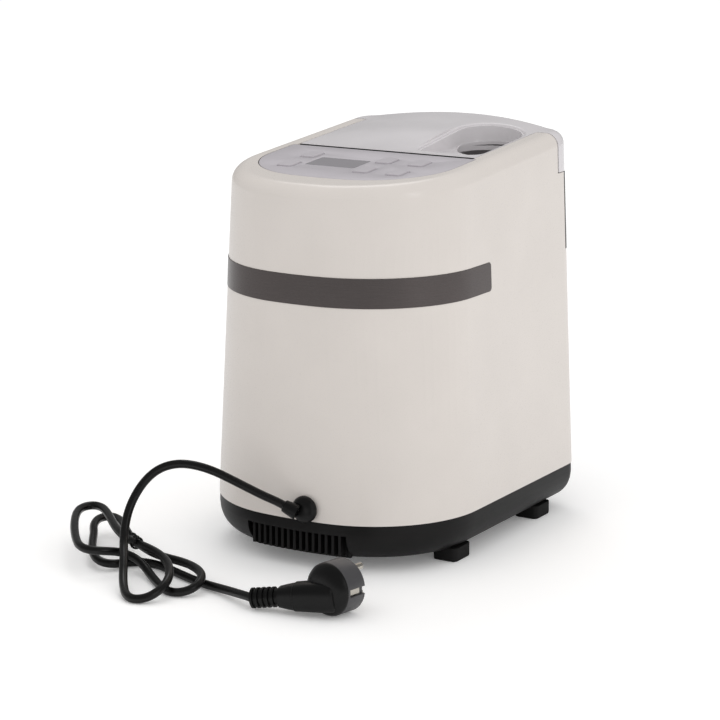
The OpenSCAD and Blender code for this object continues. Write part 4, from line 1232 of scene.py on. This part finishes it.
@dataclass
class Housing:
    """White shell, metal band, base and feet."""

    finisher: Finisher
    wall: float = 3.0
    bay_half: float = 76.3
    bay_floor: float = 43.0
    mouth_half: float = 82.5
    front_face: float = -103.5
    lid_seat_y: float = -92.4
    hinge_depth: float = 10.6
    room_back: float = 10.29
    gland_hole: float = 7.05
    base_low: float = 10.5
    vent_top: float = 28.5
    foot_x: float = 87.0
    foot_rows: Flat = (57.8, -73.3)
    foot_size: Flat = (20.0, 24.4)
    foot_corner: float = 4.0
    band_z: float = 195.5
    band_h: float = 21.4
    band_end: float = 19.5
    band_t: float = 0.9
    band_corner: float = 3.0
    vent_half: float = 42.2
    rib_inset: float = 2.5
    rib_step: float = 5.25
    rib_half: float = 1.1

    def band_sweep(self, name: str, inner: float, outer: float, grow: float) -> Piece:
        """Strip that follows the housing round its back.

        Args:
            name: Name of the piece.
            inner: Inset of its inner side.
            outer: Inset of its outer side.
            grow: How much larger it is all round.

        Returns:
            The strip.
        """
        z0, z1 = self.band_z - grow, self.band_z + self.band_h + grow
        middle = (z0 + z1) / 2
        near = [p for p in BODY.plan(0, middle) if p[1] > self.band_end + 1]
        start = (near[0][0], self.band_end - grow)
        stop = (near[-1][0], self.band_end - grow)
        r = self.band_corner
        turns = [math.radians(a) for a in (0, 15, 30, 50, 70, 90)]
        lead = [(start[0], start[1] + r * (1 - math.cos(turn))) for turn in turns]
        line = lead + near + [(stop[0], y) for _, y in reversed(lead)]
        rings: list[list[Place]] = []
        for k, (x, y) in enumerate(line):
            a, b = line[max(k - 1, 0)], line[min(k + 1, len(line) - 1)]
            way = Vector((b[0] - a[0], b[1] - a[1])).normalized()
            out = Vector((way.y, -way.x))
            s = min(max(y - start[1], 0.0), r) if k < len(lead) or k >= len(line) - len(lead) else r
            trim = r - math.sqrt(max(r * r - (r - s) ** 2, 0.0))
            trim = min(trim, (z1 - z0) / 2 - 0.2)
            ring: list[Place] = []
            low, high = z0 + trim, z1 - trim
            for inset, z in ((inner, low), (outer, low), (outer, high), (inner, high)):
                slope = math.tan(math.radians(1.55 + 0.85 * abs(out.x))) * (z - middle)
                shift = -inset - slope
                ring.append((x + out.x * shift, y + out.y * shift, z))
            rings.append(ring)
        return Bench.skin(name, rings)

    def shell(self) -> Piece:
        """Models the white shell with its bay, windows, seats and groove."""
        shell = Bench.skin("housing_shell", BODY.skin(0, 0))
        Bench.cut(shell, Bench.skin("hollow", BODY.skin(self.wall, self.wall)))
        half, face = self.bay_half, self.front_face
        bay = ((-half, -FAR, self.bay_floor), (half, BODY.hinge_y, FAR))
        mouth = ((-self.mouth_half, -FAR, 41), (self.mouth_half, face, 220.5))
        wings = ((-FAR, -FAR, 207.5), (FAR, face, FAR))
        lid_seat = ((-FAR, -FAR, 267.4), (FAR, self.lid_seat_y, FAR))
        hinge = ((-half, BODY.hinge_y - 0.01, self.hinge_low()), (half, self.room_back, FAR))
        for low, high in (bay, mouth, wings, lid_seat, hinge):
            Bench.cut(shell, Bench.block(low, high))
        panel = ControlPanel(self.finisher)
        Bench.cut(shell, panel.slab("seat", 0.65, -panel.thick, 30))
        Bench.cut(shell, panel.slab("opening", -5, -panel.thick - 3, 30))
        Bench.cut(shell, self.band_sweep("groove", self.band_t - 0.1, -4, 0.15))
        x, z = GLAND
        Bench.cut(shell, Bench.rod((x, 100, z), (x, 200, z), self.gland_hole))
        Bench.smooth(shell)
        return self.finisher.dress(shell, "white_gloss", "housing", ["outer_shell"])

    def hinge_low(self) -> float:
        """Height of the bottom of the room behind the lid's hinge edge."""
        return BODY.top_at(BODY.hinge_y) - self.hinge_depth

    def painted_shade_lining(self) -> Piece:
        """Models a dark lining of the room behind the lid's hinge edge, a painted shade that makes
        the gap there read black.
        """
        half, low = self.bay_half - 0.15, self.hinge_low()
        front, rim, back = BODY.hinge_y + 0.3, BODY.top_at(10.3), self.room_back - 0.02
        painted_shade_lining = Bench.block((-half, front, low + 0.02), (half, 10.24, low + 0.2))
        rear = Bench.block((-half, back - 0.11, low + 0.1), (half, back, rim - 1.75))
        Bench.cut(painted_shade_lining, rear, Cut.JOIN)
        for side in (-1, 1):
            x = sorted((side * half, side * (half - 0.45)))
            wall = Bench.block((x[0], front, low + 0.1), (x[1], 10.0, rim - 0.8))
            Bench.cut(painted_shade_lining, wall, Cut.JOIN)
        painted_shade_lining.name = painted_shade_lining.data.name = "hinge_painted_shade"
        return self.finisher.dress(painted_shade_lining, "foot_rubber", "housing")

    def band(self) -> Piece:
        """Models the metal band."""
        band = self.band_sweep("metal_band", self.band_t - 0.1, -0.1, 0.0)
        Bench.smooth(band)
        return self.finisher.dress(band, "brushed_metal", "housing", ["trim_band"])

    def base_rings(self, inset: float, low: float) -> list[list[Place]]:
        """Rings of the rounded base."""
        marks = [(13, 0), (9.1, 2.4), (4.68, 7), (1.82, 13), (0.6, 19.5)]
        line = smooth_route([(a, b, 0) for a, b in marks], 4)
        rings = [BODY.level(p.x + inset, low + p.y) for p in line]
        return rings + [BODY.level(0.6 + inset, BODY.seam + (1 if inset else 0))]

    def base(self) -> Piece:
        """Models the dark vented base."""
        base = Bench.skin("base_shell", self.base_rings(0, self.base_low))
        hollow = self.base_rings(self.wall, self.base_low + self.wall)
        Bench.cut(base, Bench.skin("hollow", hollow))
        half = self.vent_half
        inner = [(x, self.rear_at(x) - 6.5) for x in (half, half / 2, 0.0, -half / 2, -half)]
        zone = [(-half, FAR), (half, FAR), *inner]
        levels = [[(x, y, z) for x, y in zone] for z in (8, self.vent_top)]
        Bench.cut(base, Bench.skin("zone", levels))
        Bench.smooth(base)
        return self.finisher.dress(base, "base_black", "housing", ["base_tray"])

    def rear_at(self, x: float) -> float:
        """How far back the face of the vent's ribs lies at a sideways place."""
        line = sorted(p for p in BODY.plan(self.rib_inset, 20) if p[1] > 60)
        for (x0, y0), (x1, y1) in zip(line, line[1:]):
            if x0 <= x <= x1 and x1 - x0 > 0.01:
                return y0 + (y1 - y0) * (x - x0) / (x1 - x0)
        return line[0][1]

    def vents(self) -> Piece:
        """Models the straight ribs of the vent and the wall behind them."""
        made, step, top = [], self.rib_step / 2, self.vent_top + 0.1
        for k in range(-15, 16):
            x, wide, rib = k * step, step + 0.2, self.rib_half
            y = self.rear_at(x)
            made.append(Bench.block((x - wide, y - 8.5, 10.6), (x + wide, y - 6, top)))
            if k % 2 == 0:
                made.append(Bench.block((x - rib, y - 7, 12.6), (x + rib, y, top)))
        vents = Bench.joined(made, "vent_ribs")
        return self.finisher.dress(vents, "base_black", "housing", ["base_tray"])

    def feet(self) -> Piece:
        """Models the four rubber feet."""
        made = []
        wide, long = self.foot_size
        for x in (-self.foot_x, self.foot_x):
            for y in self.foot_rows:
                rings = []
                for inset, z in ((1.2, 0), (0.35, 0.35), (0, 1.2), (0, 10.4)):
                    box = rounded_box(wide - 2 * inset, long - 2 * inset, self.foot_corner - inset)
                    rings.append([(x + p[0], y + p[1], z) for p in box])
                made.append(Bench.skin("foot", rings))
        feet = Bench.smooth(Bench.joined(made, "feet"))
        return self.finisher.dress(feet, "foot_rubber", "housing", ["rubber_feet"])

    def build(self) -> None:
        """Builds the housing's pieces."""
        self.shell()
        # dark lining that paints shade into the gap behind the lid
        self.painted_shade_lining()
        self.band()
        self.base()
        self.vents()
        self.feet()


@dataclass
class ControlPanel:
    """Grey plate with its keys and display window."""

    finisher: Finisher
    cols: tuple[float, float, float] = (44.0, -20.5, -48.0)
    rows: Flat = (39.5, 72.0)
    thick: float = 1.7
    front: float = 10.4
    edge: float = 0.25
    key: Flat = (12.0, 17.0)
    key_corner: float = 2.4
    window: Flat = (42.0, 26.0)
    window_at: Flat = (12.0, 56.0)

    def outline(self, grow: float) -> list[Flat]:
        """Outline of the plate on the top face, grown outwards."""
        plan = Plan(78.5 + grow, 104 + grow, 30, 222.5 + grow, 61 + grow, 250, 10).points()
        front = self.front - grow
        back = [p for p in plan if p[1] > front]
        return [(back[0][0], front), *back, (back[-1][0], front)]

    def slab(self, name: str, grow: float, low: float, high: float) -> Piece:
        """Straight slab on the top face between two heights over it."""
        return Bench.skin(
            name, [[BODY.on_top(x, y, up) for x, y in self.outline(grow)] for up in (low, high)]
        )

    def pad(self, name: str, x: float, y: float, size: Flat, radius: float, low: float,
            up: float, soft: float) -> Piece:
        """Pad with a soft upper edge that stands on the top face.

        Args:
            name: Name of the piece.
            x: Sideways place.
            y: Place along the face.
            size: Width and length.
            radius: Corner radius.
            low: Height of its underside.
            up: Height of its upper face.
            soft: Radius of the soft edge.

        Returns:
            The piece.
        """
        levels = [(0.0, low), (0.0, up - soft)]
        levels += [(inset, up - drop) for inset, drop in soft_edge(soft)]
        levels += [(soft + 0.3, up)]
        rings = [
            [
                BODY.on_top(x + p[0], y + p[1], z)
                for p in rounded_box(size[0] - 2 * i, size[1] - 2 * i, max(radius - i, 0.6))
            ]
            for i, z in levels
        ]
        return Bench.smooth(Bench.skin(name, rings))

    def build(self) -> None:
        """Builds the plate, the window and the six keys."""
        plate = self.slab("panel_plate", 0.0, -self.thick, 0.0)
        hole = (self.key[0] + 0.6, self.key[1] + 0.6)
        for x in self.cols:
            for y in self.rows:
                Bench.cut(plate, self.pad("hole", x, y, hole, self.key_corner, -5, 5, 0.1))
        pane = (self.window[0] + 0.2, self.window[1] + 0.2)
        Bench.cut(plate, self.pad("hole", *self.window_at, pane, 2, -5, 5, 0.1))
        Bench.bevel(plate, self.edge)
        Bench.smooth(plate)
        self.finisher.dress(plate, "panel_grey", "housing", ["control_panel"])
        seam = self.slab("panel_seam", 0.6, -1.65, -0.3)
        Bench.cut(seam, self.slab("middle", -0.05, -3, 3))
        Bench.cut(seam, Bench.block((-FAR, -FAR, 0), (FAR, self.front + 0.2, FAR)))
        self.finisher.dress(seam, "foot_rubber", "housing")
        window = self.pad(
            "display_pane", *self.window_at, self.window, 2, -self.thick, 0.0, 0.2
        )
        self.finisher.dress(window, "window_grey", "housing", ["display_window"])
        for k in range(6):
            x, y = self.cols[k % 3], self.rows[k // 3]
            node = f"key_{k + 1}"
            key = self.pad(f"key_cap_{k + 1}", x, y, self.key, self.key_corner, -5, 1.2, 0.9)
            self.finisher.dress(key, "panel_grey", node, [node])


@dataclass
class Lid:
    """Hinged lid with its crowned top and pouring tray."""

    finisher: Finisher
    wall: float = 2.6
    step: float = 94.0
    apron: float = 268.0
    skirt: float = 264.8
    hinge_half: float = 75.5
    # Angle under which the hinge edge's faces get the dark finish, painted shade of the gap behind
    # the lid.
    painted_shade_to: float = 72.0
    tray_x: float = -46.5
    tray_half: float = 27.0
    tray_back: float = -3.0
    tray_corner: float = 9.0
    tray_depth: float = 11.0
    tray_wall: float = 1.8
    throat_r: float = 24.6
    throat_y: float = -71.5
    lip: float = 1.5
    barrel: float = 4.9
    cell: float = 6.0

    def block_form(self, inset: float, drop: float, crowned: bool) -> Piece:
        """Lid's block: the housing's skin within the lid's zone.

        Args:
            inset: Distance inwards from the outer skin.
            drop: Distance below the top.
            crowned: Whether the top is raised by the crown.

        Returns:
            The solid.
        """
        block = Bench.skin("lid_block", BODY.skin(inset, drop, 8))
        half = BODY.lid_half - inset
        low = 3 if inset else 0
        front = -FAR if inset else -self.step - 0.01
        zone = Bench.block((-half, front, self.skirt - low), (half, BODY.hinge_y - inset, FAR))
        wide = Bench.block((-FAR, -FAR, self.apron - low), (FAR, -self.step - inset, FAR - 10))
        Bench.cut(zone, wide, Cut.JOIN)
        Bench.cut(block, zone, Cut.KEEP)
        if crowned:
            x_cuts = [k * self.cell for k in range(-12, 13)]
            y_cuts = [-4 - k * self.cell for k in range(22)]
            Bench.score(
                block,
                [((x, 0, 0), (1, 0, 0)) for x in x_cuts] + [((0, y, 0), (0, 1, 0)) for y in y_cuts],
            )
            for vertex in block.data.vertices:
                x, y, z = vertex.co.x * 1000, vertex.co.y * 1000 - SHIFT_Y, vertex.co.z * 1000
                if z > BODY.top_at(y) - drop - BODY.rounding - 0.05 and z > self.apron + 4:
                    vertex.co.z += BODY.crown(x, y) * 0.001
        return block

    def tray_plan(self, grow: float) -> list[Flat]:
        """Outline of the pouring tray, round in front, square at the back."""
        x, r, c = self.tray_x, self.tray_half, self.tray_corner
        return (
            arc((x, self.throat_y), r + grow, 180, 360, 48)
            + arc((x + r - c, self.tray_back - c), c + grow, 0, 90, 12)
            + arc((x - r + c, self.tray_back - c), c + grow, 90, 180, 12)
        )

    def on_lid(self, x: float, y: float, down: float) -> Place:
        """Place at a depth under the lid's crowned top."""
        return (x, y, BODY.top_at(y) + BODY.crown(x, y) - down)

    def opening(self, grow: float, low: float) -> Piece:
        """Tool that opens the lid for the tray, with a softly rounded upper edge.

        Args:
            grow: Distance outwards from the tray's outline.
            low: How far it reaches under the top.

        Returns:
            The solid.
        """
        lip = self.lip
        levels = [(0.0, low), (0.0, lip), *soft_edge(lip), (lip, 0.0), (lip + 0.1, -6.0)]
        return Bench.skin(
            "opening",
            [
                [self.on_lid(x, y, down) for x, y in self.tray_plan(grow + out)]
                for out, down in levels
            ],
        )

    def shell(self) -> Piece:
        """Models the lid without its tray and hinge edge."""
        lid = self.block_form(0, 0, True)
        Bench.cut(lid, self.opening(0.0, 40.0))
        Bench.cut(lid, self.block_form(self.wall, self.wall, False))
        lid.name = lid.data.name = "lid_cover"
        Bench.smooth(lid)
        return self.finisher.dress(lid, "lid_grey", "lid", ["lid_shell"])

    def hinge_edge(self) -> Piece:
        """Models the round edge on which the lid turns, its rear and lower faces painted dark as
        painted shade of the gap behind the lid.
        """
        y = BODY.hinge_y
        z = BODY.top_at(y) - self.barrel - 0.2
        half = self.hinge_half
        edge = Bench.rod((-half, y, z), (half, y, z), self.barrel, 40)
        edge.name = edge.data.name = "lid_hinge_edge"
        Bench.smooth(edge)
        self.finisher.dress(edge, "lid_grey", "lid", ["lid_shell"])
        # Painted shade: faces turned back and down take the dark rubber finish so the gap behind
        # the lid reads black.
        edge.data.materials.append(self.finisher.material("foot_rubber"))
        for face in edge.data.polygons:
            if math.atan2(face.normal.z, face.normal.y) < math.radians(self.painted_shade_to):
                face.material_index = 1
        return edge

    def tray(self) -> Piece:
        """Models the tray with its sloping floor and round throat."""
        depth, wall = self.tray_depth, self.tray_wall
        outer = Bench.skin(
            "pour_tray_form",
            [
                [
                    (x, y, BODY.top_at(y) - down + (BODY.crown(x, y) if down < 3 else 0))
                    for x, y in self.tray_plan(grow)
                ]
                for grow, down in ((-3.0, depth + wall), (-0.1, depth + wall - 2), (-0.1, self.lip))
            ],
        )
        throat = (self.tray_x, self.throat_y)
        top = BODY.top_at(self.throat_y) - depth - 0.5
        tube = Bench.rod((*throat, 265), (*throat, top), self.throat_r + wall - 0.1, 72)
        Bench.cut(outer, tube, Cut.JOIN)
        fillet = [(-wall - 3.0, depth), (-wall - 1.6, depth - 0.3), (-wall - 0.5, depth - 1.2),
                  (-wall, depth - 3.0), (-wall, -6.0)]
        inner = Bench.skin(
            "tray_room",
            [
                [(x, y, BODY.top_at(y) - down) for x, y in self.tray_plan(grow)]
                for grow, down in fillet
            ],
        )
        Bench.cut(outer, inner)
        Bench.cut(outer, Bench.rod((*throat, 200), (*throat, 300), self.throat_r, 72))
        outer.name = outer.data.name = "pour_tray_body"
        Bench.smooth(outer)
        return self.finisher.dress(outer, "lid_grey", "lid", ["pour_tray"])

    def build(self) -> None:
        """Builds the lid, its hinge edge, the tray and the strainer."""
        self.shell()
        self.hinge_edge()
        self.tray()
        strainer = Bench.refined("funnel_strainer")
        self.finisher.dress(strainer, "strainer_grey", "lid", ["funnel_strainer"])


@dataclass
class Front:
    """Dark front panel, extruding nose, die and clamping ring."""

    finisher: Finisher
    face: float = -104.0
    top: float = 267.0
    wide_from: float = 208.0
    low: Place = (-82.0, -FAR, 43.6)
    nose: Flat = (122.0, 30.3)
    edge: float = 0.5

    def panel(self) -> Piece:
        """Models the convex front panel."""
        panel = Bench.skin("front_plate", [BODY.level(-0.6, 37), BODY.level(-0.6, 300)])
        view = Bench.block(self.low, (-self.low[0], self.face, self.top))
        wings = Bench.block((-FAR, -FAR, self.wide_from), (FAR, self.face, self.top))
        Bench.cut(view, wings, Cut.JOIN)
        Bench.cut(panel, view, Cut.KEEP)
        Bench.cut(panel, Bench.skin("hollow", [BODY.level(2.6, 30), BODY.level(2.6, 310)]))
        z, radius = self.nose
        Bench.cut(panel, Bench.rod((0, -200, z), (0, -50, z), radius, 96))
        Bench.bevel(panel, self.edge)
        Bench.smooth(panel)
        return self.finisher.dress(panel, "dark_gloss", "cassette", ["front_panel"])

    def build(self) -> None:
        """Builds the front's pieces."""
        self.panel()
        for node, slot, body in (
            ("extruder_nose", "nose_grey", "cassette"),
            ("mixing_bowl", "bowl_smoke", "cassette"),
            ("die_ring", "white_gloss", "ring"),
            ("pasta_die", "tool_white", "die"),
            ("extruder_screw", "tool_white", "screw"),
        ):
            self.finisher.dress(Bench.refined(node), slot, body, [node])


def main() -> None:
    """Builds the machine piece by piece, then the studio."""
    logging.basicConfig(level=logging.INFO, format="%(name)s: %(message)s")
    studio = Studio()
    studio.camera()
    finisher = Finisher()
    CordSet(finisher).build()
    Housing(finisher).build()
    ControlPanel(finisher).build()
    Lid(finisher).build()
    Front(finisher).build()
    finisher.paint_solids()
    studio.build()


if __name__ == "__main__":
    main()
